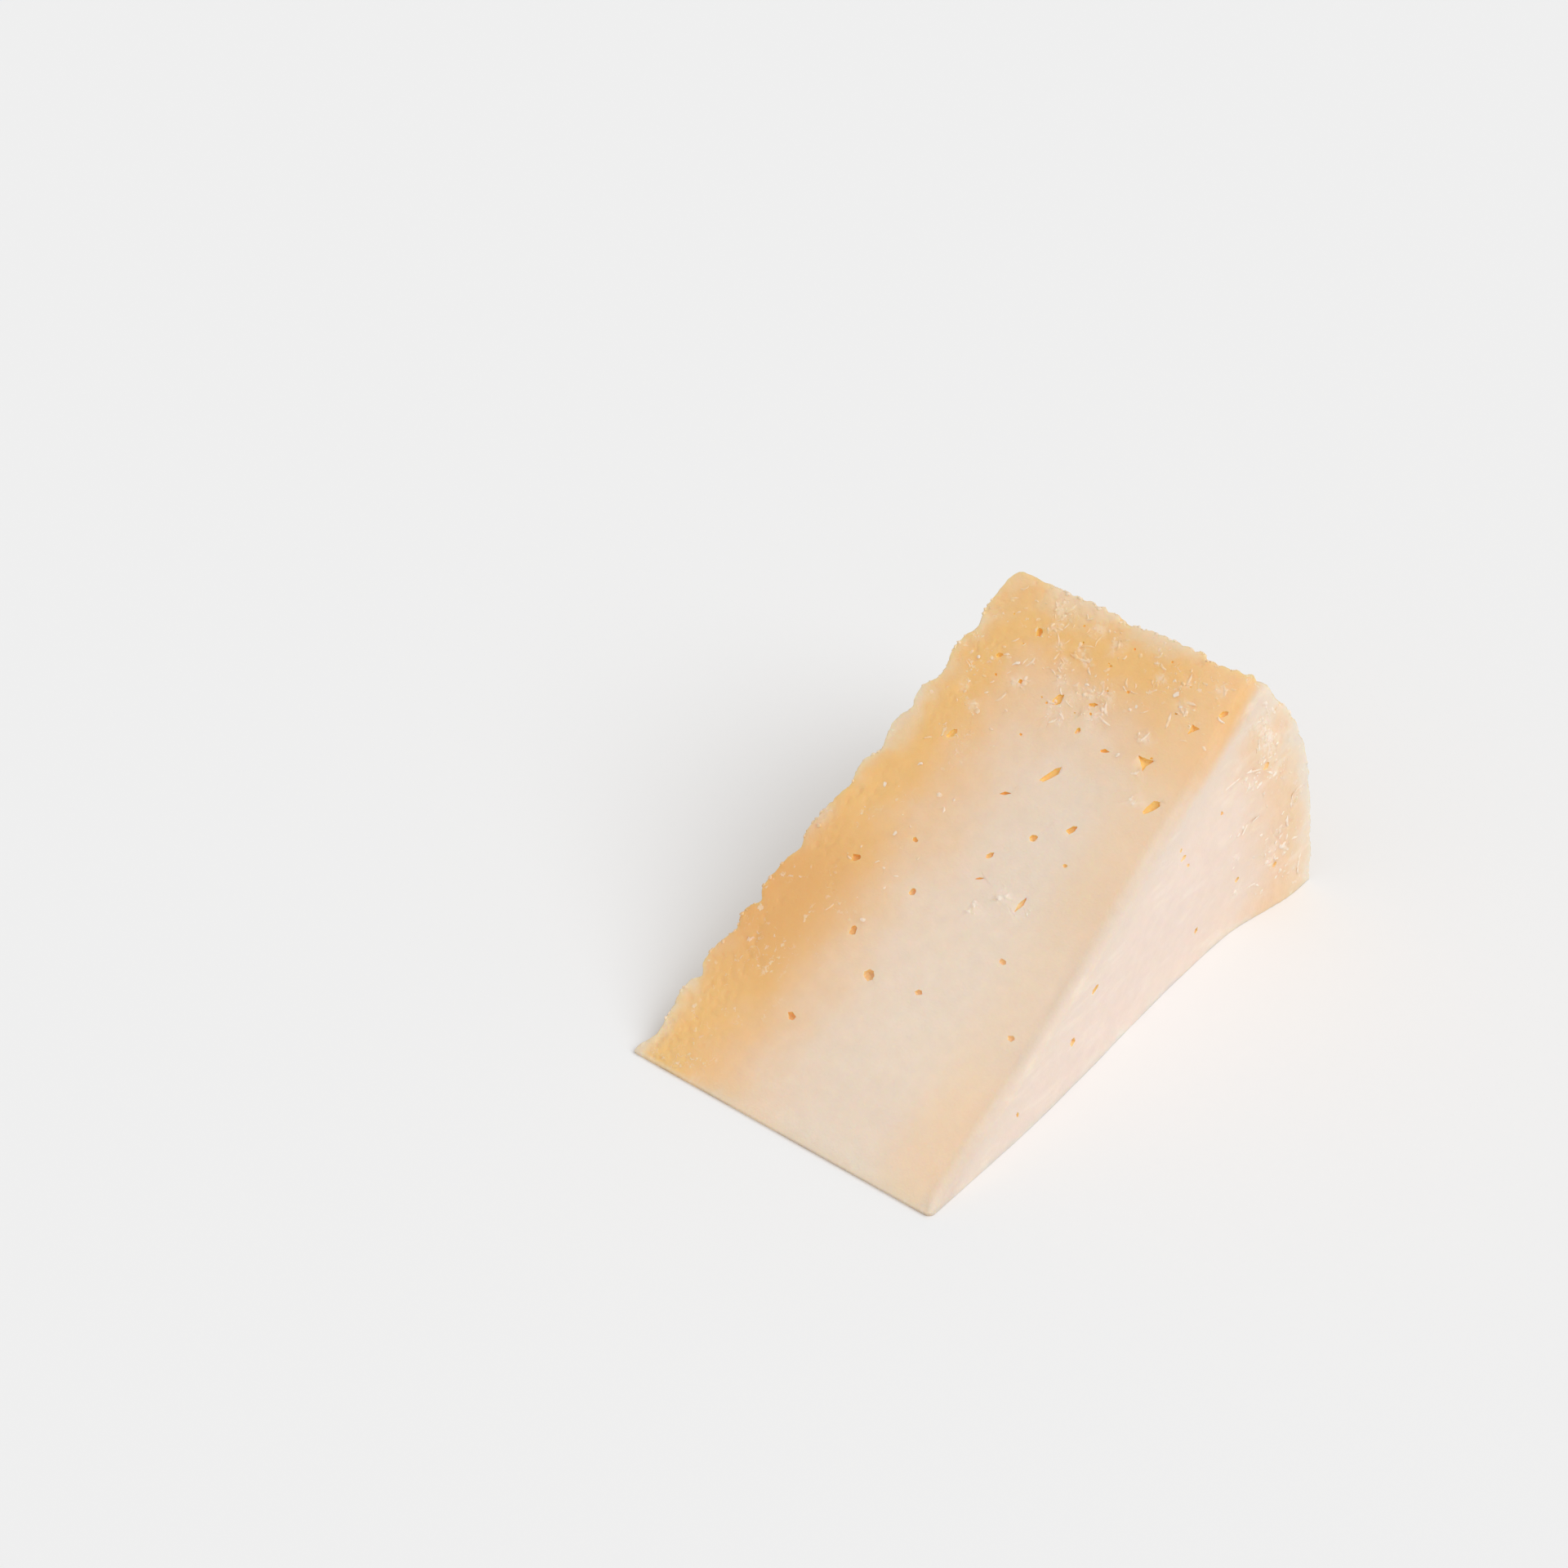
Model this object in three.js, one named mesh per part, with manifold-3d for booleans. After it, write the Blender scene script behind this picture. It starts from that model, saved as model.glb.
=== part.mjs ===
// A thick wedge of aged sheep cheese, in millimetres.
// A pressed wheel 208 mm across was halved across its axis, and one half was cut into wedges.
// The wedge lies on one radial cut with the other radial cut on top. X runs along the wheel's axis
// from the pressed flat rind to the smooth halving cut, Y from the tip to the rim, and Z up.

import * as THREE from 'three';
import { ImprovedNoise } from 'three/addons/math/ImprovedNoise.js';
import { mergeVertices } from 'three/addons/utils/BufferGeometryUtils.js';
import Module from 'manifold-3d';

const { smoothstep, degToRad, seededRandom } = THREE.MathUtils;

// The wheel
const wheelRadius = 104;
const flatSpot = { drop: 3.8, fromAngle: 17, toAngle: 33 }; // the rim is a little out of round here
const centreThickness = 59.2; // of the halved wheel, at its axis
const edgeThickness = 48.2; // and at its rim, as the flat is slightly domed
const domePower = 1.1;
const shoulderRadius = 1.4; // where the rim turns over into the flat
const shoulderSteps = 2;

// The marks that the mould left in the rind
const chevronsAroundWheel = 25;
const rowsPerChevron = 6; // steps of the mesh around the wheel
const firstRow = 1.8; // degrees above the floor, so that no row runs along a cut
const strandPitch = 2.4; // from one plaited strand to the next, along the axis
const strandDepth = [0.12, 0.42]; // above and below the rim's mean surface
const chevronSway = 1.6; // how far a strand swings along the axis
const plaitFade = { from: -40, to: -34 }; // the belt's print ends before the shoulder
const plaitWear = { perStrand: 4.8, degreesPerRadian: 7 }; // how its depth comes and goes
const ridgePitch = 9.26; // of the press board's grooves on the flat
const ridgePhase = 20.39; // distance of a crest from the axis
const ridgeTurn = 24; // degrees, the way in which the grooves follow each other
const ridgeDepth = 0.62; // above and below their middle
const ridgeSwing = { reach: 0.16, length: 15, phase: 0 }; // how their depth comes and goes
const ridgeDrift = [ // and how their places do, as they aren't evenly spaced
  { reach: 1.93, length: 43.72, phase: 2.49 },
  { reach: 1.2, length: 14.06, phase: 5.52 },
];
const ridgePinch = 0.58; // the crests are broad and the grooves narrow
const ridgeSink = 0.22;
const stepsPerRidge = 6;
const crumble = { size: 3.1, depth: 0.3 }; // the fine unevenness of both rinds

// The knife's cuts
const wedgeAngle = 32.4; // at the halving cut
const wedgeTwist = 0.6; // degrees less at the flat rind
const tipRadius = 1.2; // the tip is this far from the axis
const topSag = { depth: 1.6, rise: [11, 31], fall: [43, 67], reach: 38 };
const lowerHollow = { depth: 2.6, rise: [21, 79], fall: [83, 101], height: 26 };
const hollowReach = 12; // how deep below the halving cut its hollow still bends the other cuts
const ridge = { radius: 2.5, grows: 0.9, from: 78, to: 102, tip: 0.5 }; // the rubbed long edge
const knifeReach = 120; // past the rim
const knifeWidth = 70; // past the flat
const knifeSteps = { width: 12, radial: 18, angular: 9, crowding: 2.2 }; // closer at the ridge

// Eyes, the small irregular openings in the paste
const eyeUnderhang = 0.15; // the widest level lies this share of the depth below the surface
const eyeRoughness = 0.56;
const eyeSwell = { size: 1.3, seeds: [1.7, 0.9, 1.3] };
const topEyes = [ // the largest on the top cut: place, length, width, depth and turn in degrees
  { x: -38.6, r: 92.2, length: 2.0, width: 1.5, depth: 0.7, turn: 90 },
  { x: -29.0, r: 83.4, length: 3.0, width: 1.6, depth: 0.7, turn: 80 },
  { x: -22.9, r: 71.9, length: 4.2, width: 1.5, depth: 0.7, turn: 62 },
  { x: -10.0, r: 80.2, length: 3.8, width: 3.0, depth: 0.7, turn: 150 },
  { x: -5.9, r: 88.6, length: 3.4, width: 2.2, depth: 0.62, turn: 70 },
  { x: -4.8, r: 74.3, length: 3.6, width: 1.6, depth: 0.62, turn: 62 },
  { x: -15.6, r: 51.2, length: 3.8, width: 2.4, depth: 0.4, turn: 80 },
  { x: -42.5, r: 85.9, length: 1.4, width: 1.0, depth: 0.47, turn: 20 },
  { x: -36.6, r: 83.5, length: 1.0, width: 0.8, depth: 0.39, turn: 0 },
  { x: -42.1, r: 70.9, length: 1.9, width: 1.2, depth: 0.62, turn: 62 },
  { x: -23.3, r: 85.1, length: 1.7, width: 0.9, depth: 0.39, turn: 30 },
  { x: -23.1, r: 80.2, length: 1.3, width: 0.9, depth: 0.39, turn: 80 },
  { x: -17.2, r: 79.1, length: 1.7, width: 0.8, depth: 0.47, turn: 20 },
  { x: -28.2, r: 65.9, length: 2.3, width: 1.5, depth: 0.55, turn: 40 },
  { x: -2.8, r: 92.8, length: 1.7, width: 1.0, depth: 0.47, turn: 50 },
  { x: -14.7, r: 65.3, length: 2.2, width: 1.2, depth: 0.62, turn: 62 },
  { x: -19.7, r: 61.4, length: 1.6, width: 1.3, depth: 0.62, turn: 45 },
  { x: -24.6, r: 55.8, length: 1.7, width: 1.0, depth: 0.55, turn: 62 },
  { x: -24.0, r: 51.8, length: 1.9, width: 1.0, depth: 0.47, turn: 26 },
  { x: -13.1, r: 41.8, length: 1.5, width: 1.1, depth: 0.47, turn: 0 },
  { x: -5.0, r: 31.7, length: 1.5, width: 1.2, depth: 0.47, turn: 20 },
];
const halvingCutEyes = [ // and on the halving cut
  { y: 87.6, z: 34.8, length: 2.3, width: 1.5, depth: 0.55, turn: 70 },
  { y: 83.8, z: 12.9, length: 1.5, width: 1.2, depth: 0.47, turn: 20 },
  { y: 75.6, z: 32.8, length: 1.2, width: 0.8, depth: 0.39, turn: 40 },
  { y: 65.4, z: 30.2, length: 1.6, width: 1.0, depth: 0.47, turn: 100 },
];
const scatteredEyes = {
  seed: 41,
  clearOf: 7.5,
  edge: 4.5,
  span: [13.5, 95], // from the axis, on the radial cuts
  cutSpan: [22.5, 95], // and on the halving cut
  length: [1.2, 2.2],
  slim: [0.55, 0.95],
  deep: [0.4, 0.6],
  strip: { outer: 79, low: -36, high: -32, spread: 0.28 }, // those on top keep to it, and it widens inwards
  onTop: 7,
  onHalvingCut: 5,
  underneath: 22,
  mostTries: 4000,
};

const pasteColour = '#ecd2b2';
const pasteRoughness = 0.6;

const weld = 1e-3; // points closer than this are one

const wasm = await Module();
wasm.setup();
const noise = new ImprovedNoise();

function toSolid(geometry) {
  const bare = geometry.clone();
  bare.deleteAttribute('normal');
  bare.deleteAttribute('uv');
  const merged = mergeVertices(bare, weld);
  const vertProperties = new Float32Array(merged.attributes.position.array);
  const triVerts = new Uint32Array(merged.index.array);
  return new wasm.Manifold(new wasm.Mesh({ numProp: 3, vertProperties, triVerts }));
}

function toGeometry(solid) {
  const mesh = solid.getMesh();
  const geometry = new THREE.BufferGeometry();
  geometry.setAttribute('position', new THREE.BufferAttribute(new Float32Array(mesh.vertProperties), 3));
  geometry.setIndex(new THREE.BufferAttribute(new Uint32Array(mesh.triVerts), 1));
  return geometry;
}

function moveVertices(geometry, move) {
  const point = new THREE.Vector3();
  const position = geometry.attributes.position;
  for (let i = 0; i < position.count; i += 1) {
    point.fromBufferAttribute(position, i);
    move(point);
    position.setXYZ(i, point.x, point.y, point.z);
  }
  return geometry;
}

// The dome of the flat: how thick the halved wheel is at a distance from its axis
function thicknessAt(radius) {
  const share = Math.min(radius / wheelRadius, 1);
  return centreThickness - (centreThickness - edgeThickness) * share ** domePower;
}

// The half wheel's profile, from the middle of the flat out to the rim and back to the axis
function wheelProfile() {
  const points = [new THREE.Vector2(0, -thicknessAt(0))];
  const flatEnd = wheelRadius - shoulderRadius;
  const flatSteps = Math.round((flatEnd * stepsPerRidge) / ridgePitch);
  for (let i = 1; i <= flatSteps; i += 1) {
    const radius = (flatEnd * i) / flatSteps;
    points.push(new THREE.Vector2(radius, -thicknessAt(radius)));
  }
  const shoulderHeight = -thicknessAt(flatEnd) + shoulderRadius;
  for (let i = 1; i <= shoulderSteps; i += 1) {
    const angle = (Math.PI / 2) * (i / shoulderSteps);
    points.push(new THREE.Vector2(
      flatEnd + shoulderRadius * Math.sin(angle),
      shoulderHeight - shoulderRadius * Math.cos(angle),
    ));
  }
  const columns = Math.ceil(-shoulderHeight / (strandPitch / 2)) + 2;
  for (let i = 1; i <= columns; i += 1) {
    points.push(new THREE.Vector2(wheelRadius, shoulderHeight + (i * strandPitch) / 2));
  }
  points.push(new THREE.Vector2(0, shoulderHeight + (columns * strandPitch) / 2));
  return points;
}

// A wave of straight lines between -1 and 1, as a strand swings along the plait
function zigzag(turns) {
  return 4 * Math.abs(turns - Math.floor(turns + 0.5)) - 1;
}

function mix([low, high], share) {
  return low + (high - low) * share;
}

function waveAt(along, { reach, length, phase }) {
  return reach * Math.sin((2 * Math.PI * along) / length + phase);
}

// How far the flat stands out of its smooth dome
function ridgeAt(y, z) {
  const turn = degToRad(ridgeTurn);
  const across = y * Math.cos(turn) + z * Math.sin(turn);
  const drift = ridgeDrift.reduce((sum, wave) => sum + waveAt(across, wave), 0);
  const swing = (2 * Math.PI * (across - ridgePhase + drift)) / ridgePitch;
  const depth = ridgeDepth + waveAt(across, ridgeSwing);
  return depth * Math.cos(swing - ridgePinch * Math.sin(swing)) - ridgeSink;
}

// Prints the plaited belt into the rim, and the press board's grooves into the flat
function printRind(point) {
  const radius = Math.hypot(point.y, point.z);
  if (radius < tipRadius) return;
  const degrees = THREE.MathUtils.radToDeg(Math.atan2(point.z, point.y));
  const cell = point.clone().divideScalar(crumble.size);
  const grain = crumble.depth * noise.noise(cell.x, cell.y, cell.z);
  const outOfRound = flatSpot.drop * smoothstep(degrees, flatSpot.fromAngle, flatSpot.toAngle);
  const flatEnd = wheelRadius - shoulderRadius;
  const onRim = smoothstep(radius, flatEnd, wheelRadius);
  const shrunk = 1 - outOfRound / wheelRadius;
  let outward = grain * onRim;
  let along = (grain - ridgeAt(point.y * shrunk, point.z * shrunk)) * (1 - onRim);
  if (radius > wheelRadius - weld) {
    const shoulderHeight = -thicknessAt(flatEnd) + shoulderRadius;
    const column = Math.round((point.x - shoulderHeight) / (strandPitch / 2));
    const plait = smoothstep(point.x, plaitFade.from, plaitFade.to);
    const swing = Math.sin((plaitWear.perStrand * column) / 2 + degrees / plaitWear.degreesPerRadian);
    outward += plait * mix(strandDepth, (1 + swing) / 2) * (column % 2 === 0 ? 1 : -1);
    along += plait * chevronSway * zigzag(((degrees - firstRow) / 360) * chevronsAroundWheel);
  }
  if (point.x > 1) along = 0; // past the halving cut
  const stretch = shrunk + outward / radius;
  point.set(point.x + along, point.y * stretch, point.z * stretch);
}

function halfWheel() {
  const rows = chevronsAroundWheel * rowsPerChevron;
  const geometry = new THREE.LatheGeometry(wheelProfile(), rows, degToRad(firstRow - 90));
  geometry.rotateZ(-Math.PI / 2);
  return toSolid(moveVertices(geometry, printRind));
}

function bump(value, rise, fall) {
  return smoothstep(value, rise[0], rise[1]) * (1 - smoothstep(value, fall[0], fall[1]));
}

function topAngleAt(x) {
  return degToRad(wedgeAngle - wedgeTwist * Math.min(-x / edgeThickness, 1));
}

// A point of the top cut, which the knife left slightly hollow near the halving cut
function topPoint(x, radius) {
  const angle = topAngleAt(x);
  const nearCut = 1 - smoothstep(-x, 0, topSag.reach);
  const sag = topSag.depth * bump(radius, topSag.rise, topSag.fall) * nearCut;
  return new THREE.Vector3(
    x,
    radius * Math.cos(angle) + sag * Math.sin(angle),
    radius * Math.sin(angle) - sag * Math.cos(angle),
  );
}

// How far the halving cut lies inside its plane, low down towards the rim
function hollowAt(y, z) {
  const low = 1 - smoothstep(z, 0, lowerHollow.height);
  return lowerHollow.depth * bump(y, lowerHollow.rise, lowerHollow.fall) * low;
}

// Rounds the ridge: pulls in a point that lies less than the ridge's radius below both of its faces
function rubRidge(radius, depth, below) {
  const grown = ridge.radius + ridge.grows * smoothstep(radius, ridge.from, ridge.to);
  const round = Math.min(grown, ridge.tip * radius);
  const depthShort = Math.max(round - depth, 0);
  const belowShort = Math.max(round - below, 0);
  if (!depthShort || !belowShort) return [depth, below];
  const moved = 1 - Math.min(round / Math.hypot(depthShort, belowShort), 1);
  return [depth + depthShort * moved, below + belowShort * moved];
}

// The space between the knife's cuts: a fan from the tip to past the rim
function betweenCuts() {
  const { width, radial, angular, crowding } = knifeSteps;
  const geometry = new THREE.BoxGeometry(1, 1, 1, width, radial, angular);
  geometry.translate(0.5, 0.5, 0.5);
  return toSolid(moveVertices(geometry, (point) => {
    const radius = mix([tipRadius, knifeReach], point.y);
    const inside = knifeWidth * (1 - point.x) ** crowding;
    const topAngle = topAngleAt(-inside);
    const underTop = radius * topAngle * (1 - point.z) ** crowding;
    const [depth, below] = rubRidge(radius, inside, underTop);
    const top = topPoint(-depth, radius);
    const angle = Math.atan2(top.z, top.y) * (1 - below / (radius * topAngle));
    const reach = Math.hypot(top.y, top.z);
    const y = reach * Math.cos(angle);
    const z = reach * Math.sin(angle);
    point.set(-depth - hollowAt(y, z) * (1 - smoothstep(depth, 0, hollowReach)), y, z);
  }));
}

// One opening, sunk into a surface whose sideways and outward directions are given
function eyeAt(place, side, outward, eye) {
  const geometry = new THREE.IcosahedronGeometry(1, 1);
  const offset = place.dot(new THREE.Vector3(...eyeSwell.seeds));
  moveVertices(geometry, (point) => {
    const cell = point.clone().multiplyScalar(eyeSwell.size);
    point.multiplyScalar(1 + eyeRoughness * noise.noise(cell.x + offset, cell.y, cell.z - offset));
  });
  geometry.scale(eye.length / 2, eye.width / 2, eye.depth);
  geometry.translate(0, 0, -eyeUnderhang * eye.depth);
  geometry.rotateZ(degToRad(eye.turn));
  const forward = new THREE.Vector3().crossVectors(outward, side);
  geometry.applyMatrix4(new THREE.Matrix4().makeBasis(side, forward, outward));
  geometry.translate(place.x, place.y, place.z);
  return toSolid(geometry);
}

// Spreads eyes over a face by throwing points that keep clear of each other and of the edges
function scatterEyes(count, taken, pick) {
  const eyes = [];
  for (let tries = 0; eyes.length < count && tries < scatteredEyes.mostTries; tries += 1) {
    const spot = pick(seededRandom(), seededRandom());
    if (!spot) continue;
    if (taken.some((other) => other.distanceTo(spot) < scatteredEyes.clearOf)) continue;
    taken.push(spot);
    const length = mix(scatteredEyes.length, seededRandom());
    const width = length * mix(scatteredEyes.slim, seededRandom());
    const depth = length * mix(scatteredEyes.deep, seededRandom());
    eyes.push({ spot, length, width, depth, turn: 180 * seededRandom() });
  }
  return eyes;
}

function openings() {
  seededRandom(scatteredEyes.seed);
  const solids = [];
  const along = new THREE.Vector3(1, 0, 0);
  const up = new THREE.Vector3(0, 0, 1);
  const slope = degToRad(wedgeAngle);
  const topOutward = new THREE.Vector3(0, -Math.sin(slope), Math.cos(slope));
  const { edge, span, cutSpan, strip } = scatteredEyes;
  const insideSpan = (radius, share) => -edge - (thicknessAt(radius) - 2 * edge) * share;

  const topTaken = topEyes.map((eye) => topPoint(eye.x, eye.r));
  topEyes.forEach((eye, i) => solids.push(eyeAt(topTaken[i], along, topOutward, eye)));
  const topSpots = scatterEyes(scatteredEyes.onTop, topTaken, (a, b) => {
    const radius = mix(span, a);
    const x = insideSpan(radius, b);
    const widening = (strip.outer - radius) * strip.spread;
    const inStrip = radius < strip.outer && x > strip.low - widening && x < strip.high + widening;
    return inStrip ? topPoint(x, radius) : null;
  });
  topSpots.forEach((eye) => solids.push(eyeAt(eye.spot, along, topOutward, eye)));

  const cutPoint = (y, z) => new THREE.Vector3(-hollowAt(y, z), y, z);
  const cutTaken = halvingCutEyes.map((eye) => cutPoint(eye.y, eye.z));
  halvingCutEyes.forEach((eye, i) => solids.push(eyeAt(cutTaken[i], up, along, eye)));
  const cutSpots = scatterEyes(scatteredEyes.onHalvingCut, cutTaken, (a, b) => {
    const radius = mix(cutSpan, a);
    const angle = slope * b;
    const z = radius * Math.sin(angle);
    const insideCut = z > edge && radius * Math.sin(slope - angle) > edge;
    return insideCut ? cutPoint(radius * Math.cos(angle), z) : null;
  });
  cutSpots.forEach((eye) => solids.push(eyeAt(eye.spot, up, along, eye)));

  const floorSpots = scatterEyes(scatteredEyes.underneath, [], (a, b) => {
    const radius = mix(span, a);
    return new THREE.Vector3(insideSpan(radius, b), radius, 0);
  });
  floorSpots.forEach((eye) => solids.push(eyeAt(eye.spot, along, up.clone().negate(), eye)));
  return solids;
}

function cheeseWedge() {
  let solid = halfWheel().intersect(betweenCuts());
  openings().forEach((opening) => {
    solid = solid.subtract(opening);
  });
  const geometry = toGeometry(solid);
  geometry.computeVertexNormals();
  const paste = new THREE.MeshStandardMaterial({
    color: pasteColour,
    roughness: pasteRoughness,
    metalness: 0,
  });
  const mesh = new THREE.Mesh(geometry, paste);
  mesh.name = 'cheese_wedge';
  geometry.computeBoundingBox();
  const middle = geometry.boundingBox.getCenter(new THREE.Vector3());
  mesh.position.set(-middle.x, -middle.y, -geometry.boundingBox.min.z);
  return mesh;
}

const cheese = new THREE.Group();
cheese.add(cheeseWedge());

export default cheese;
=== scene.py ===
import math

import bpy
import numpy as np
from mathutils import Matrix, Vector


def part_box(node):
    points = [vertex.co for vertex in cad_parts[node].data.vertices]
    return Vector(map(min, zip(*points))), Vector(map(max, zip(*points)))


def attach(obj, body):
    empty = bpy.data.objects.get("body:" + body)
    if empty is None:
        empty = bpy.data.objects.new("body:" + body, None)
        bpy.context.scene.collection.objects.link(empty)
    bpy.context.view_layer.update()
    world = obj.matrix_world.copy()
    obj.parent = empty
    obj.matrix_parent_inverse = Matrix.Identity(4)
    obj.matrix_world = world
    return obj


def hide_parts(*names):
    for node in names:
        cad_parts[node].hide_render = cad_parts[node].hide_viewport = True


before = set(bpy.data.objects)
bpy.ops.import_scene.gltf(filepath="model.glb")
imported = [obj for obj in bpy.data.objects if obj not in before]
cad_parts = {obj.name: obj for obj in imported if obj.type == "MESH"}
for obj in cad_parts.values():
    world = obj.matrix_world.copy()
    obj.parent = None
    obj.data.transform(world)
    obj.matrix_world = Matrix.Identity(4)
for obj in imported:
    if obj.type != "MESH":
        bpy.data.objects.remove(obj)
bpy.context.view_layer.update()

# A wedge of aged sheep cheese. It is modelled in millimetres around the axis of the wheel that it was
# cut from: X along that axis, with the halving cut at 0 and the flat rind on the minus side, and the
# lower radial cut in the plane Z = 0.
mm = 0.001

wheel = {
    "radius": 104.0,
    "centreThickness": 59.2,  # of the halved wheel, at its axis
    "edgeThickness": 48.2,  # and at its rim, as the flat is slightly domed
    "domePower": 1.1,
    "shoulder": 1.4,  # the radius between the flat and the rim
    "flatSpotDrop": 3.8,  # the rim is a little out of round
    "flatSpot": (17.0, 33.0),  # degrees above the lower cut
}

cuts = {
    "angle": 32.4,  # degrees between the radial cuts, at the halving cut
    "twist": 0.6,  # and this much less at the flat rind
    "tip": 1.2,  # the paste starts so far from the axis
    "sagDepth": 1.6,  # the top cut sags, between these distances from the axis
    "sagRise": (11.0, 31.0),
    "sagFall": (43.0, 67.0),
    "sagReach": 38.0,  # along the axis
    "sagInside": 8.0,  # and so deep do the points below it follow
    "hollowDepth": 2.6,  # the halving cut is hollow in the same way, near the lower cut
    "hollowRise": (21.0, 79.0),
    "hollowFall": (83.0, 101.0),
    "hollowHeight": 26.0,
    "hollowInside": 12.0,
}

blank = {
    "steps": (150, 270, 120),  # of the mesh: along the axis, outwards from the tip, around the wheel
    "finer": (0.35, 0.3, 0.45),  # how much closer the same three get at the edges
    "keptShare": 0.24,  # of the faces, once flat places are thinned
}

lowCorner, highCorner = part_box("cheese_wedge")
tipAngle = math.radians(cuts["angle"])
wheelAxis = np.array([highCorner.x, lowCorner.y - cuts["tip"] * mm * math.cos(tipAngle), lowCorner.z])


def deselectAll():
    if bpy.context.object and bpy.context.object.mode == "EDIT":
        bpy.ops.object.mode_set(mode="OBJECT")
    bpy.ops.object.select_all(action="DESELECT")


def pick(piece):
    deselectAll()
    piece.select_set(True)
    bpy.context.view_layer.objects.active = piece


def readVectors(items, kind):
    flat = np.empty(len(items) * 3, np.float32)
    items.foreach_get(kind, flat)
    return flat.reshape(-1, 3)


def readPoints(piece):
    return (readVectors(piece.data.vertices, "co").astype(float) - wheelAxis) / mm


def writePoints(piece, points):
    inFrame = points * mm + wheelAxis
    piece.data.vertices.foreach_set("co", inFrame.astype(np.float32).ravel())
    piece.data.update()


def smoothStep(value, low, high):
    share = np.clip((value - low) / (high - low), 0, 1)
    return share * share * (3 - 2 * share)


def fadeOut(value, low, high):
    return 1 - smoothStep(value, low, high)


def mix(span, share):
    return span[0] + (span[1] - span[0]) * share


def bump(value, rise, fall):
    return smoothStep(value, *rise) * fadeOut(value, *fall)


def zigzag(turns):
    return 4 * np.abs(turns - np.floor(turns + 0.5)) - 1


# Smooth noise between about -1 and 1, whose bumps have a size in millimetres. The large numbers only
# shuffle the place of a cell, so that the slopes at its corners follow no pattern.
def waver(points, size, seed=0):
    cell = np.floor(points / size).astype(np.int64)
    inCell = points / size - cell
    ease = inCell ** 3 * (inCell * (inCell * 6 - 15) + 10)
    total = np.zeros(len(points))
    for corner in np.ndindex(2, 2, 2):
        mixed = (cell + corner) @ np.array([73856093, 19349663, 83492791]) + seed * 6542989
        mixed = (mixed ^ (mixed >> 15)) * 2246822519 & 0xFFFFFFFF
        mixed = (mixed ^ (mixed >> 13)) * 3266489917 & 0xFFFFFFFF
        slopes = (np.stack([mixed >> 8, mixed >> 14, mixed >> 20], axis=1) % 64) / 31.5 - 1
        weight = np.prod(np.where(corner, ease, 1 - ease), axis=1)
        total += weight * np.sum(slopes * (inCell - corner), axis=1)
    return total * 1.6


# The same with finer bumps on it, which are some times smaller and have a share of its height. In the
# settings, bumps and patches are what follows the points in calls of these two functions.
def waverTwice(points, size, timesFiner, share, seed, finerSeed):
    return waver(points, size, seed) + share * waver(points, size / timesFiner, finerSeed)


def thicknessAt(radius):
    share = np.minimum(radius / wheel["radius"], 1)
    drop = wheel["centreThickness"] - wheel["edgeThickness"]
    return wheel["centreThickness"] - drop * share ** wheel["domePower"]


# What the mould printed into the rind. Each wave is given by its reach, length and phase
rind = {
    "ridgePitch": 9.26,  # the press board's grooves on the flat
    "ridgePhase": 20.39,
    "ridgeTurn": 24.0,  # degrees, the way in which the grooves follow each other
    "ridgeDepth": 0.62,
    "ridgeSwing": (0.16, 15.0, 0.0),  # of the depth
    "ridgeDrift": ((1.93, 43.72, 2.49), (1.2, 14.06, 5.52)),  # of the grooves' places
    "ridgePinch": 0.58,  # the crests are broad and the grooves narrow
    "ridgeSink": 0.22,
    "chevrons": 25,  # around the wheel
    "firstRow": 1.8,  # degrees
    "strandPitch": 2.4,  # the plaited belt on the rim
    "strandDepth": (0.12, 0.42),
    "strandSway": 1.6,
    "strandWear": (4.8, 7.0),  # how fast it changes from strand to strand, and over how many degrees
    "strandShape": 0.7,  # below 1 the strands are broad and the gaps narrow
    "plaitFade": (-40.0, -34.0),
    "grain": 0.16,
    "grainBumps": (2.2, 2.6, 0.5, 0, 7),
    "inside": 2.5,  # the relief moves the points this deep below it
}


def waveAt(along, wave):
    reach, length, phase = wave
    return reach * np.sin(2 * np.pi * along / length + phase)


# How far the flat rind stands out of its smooth dome
def ridgeAt(y, z):
    turn = math.radians(rind["ridgeTurn"])
    across = y * math.cos(turn) + z * math.sin(turn)
    drift = sum(waveAt(across, wave) for wave in rind["ridgeDrift"])
    depth = rind["ridgeDepth"] + waveAt(across, rind["ridgeSwing"])
    swing = 2 * np.pi * (across - rind["ridgePhase"] + drift) / rind["ridgePitch"]
    return depth * np.cos(swing - rind["ridgePinch"] * np.sin(swing)) - rind["ridgeSink"]


def plaitAt(x, degrees):
    shallow, deep = rind["strandDepth"]
    flatEnd = wheel["radius"] - wheel["shoulder"]
    start = wheel["shoulder"] - thicknessAt(flatEnd)
    sway = rind["strandSway"] * zigzag((degrees - rind["firstRow"]) / 360 * rind["chevrons"])
    strand = (x - sway - start) / rind["strandPitch"]
    byStrand, byTurn = rind["strandWear"]
    depth = mix((shallow, deep), 0.5 + 0.5 * np.sin(byStrand * strand + degrees / byTurn))
    profile = 2 * np.abs(np.cos(np.pi * strand)) ** rind["strandShape"] - 1
    return depth * profile * smoothStep(x, *rind["plaitFade"])


def topAngleAt(depth):
    return cuts["angle"] - cuts["twist"] * np.minimum(depth / wheel["edgeThickness"], 1)


def sagAt(depth, radius):
    nearCut = fadeOut(depth, 0, cuts["sagReach"])
    return cuts["sagDepth"] * bump(radius, cuts["sagRise"], cuts["sagFall"]) * nearCut


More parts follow.
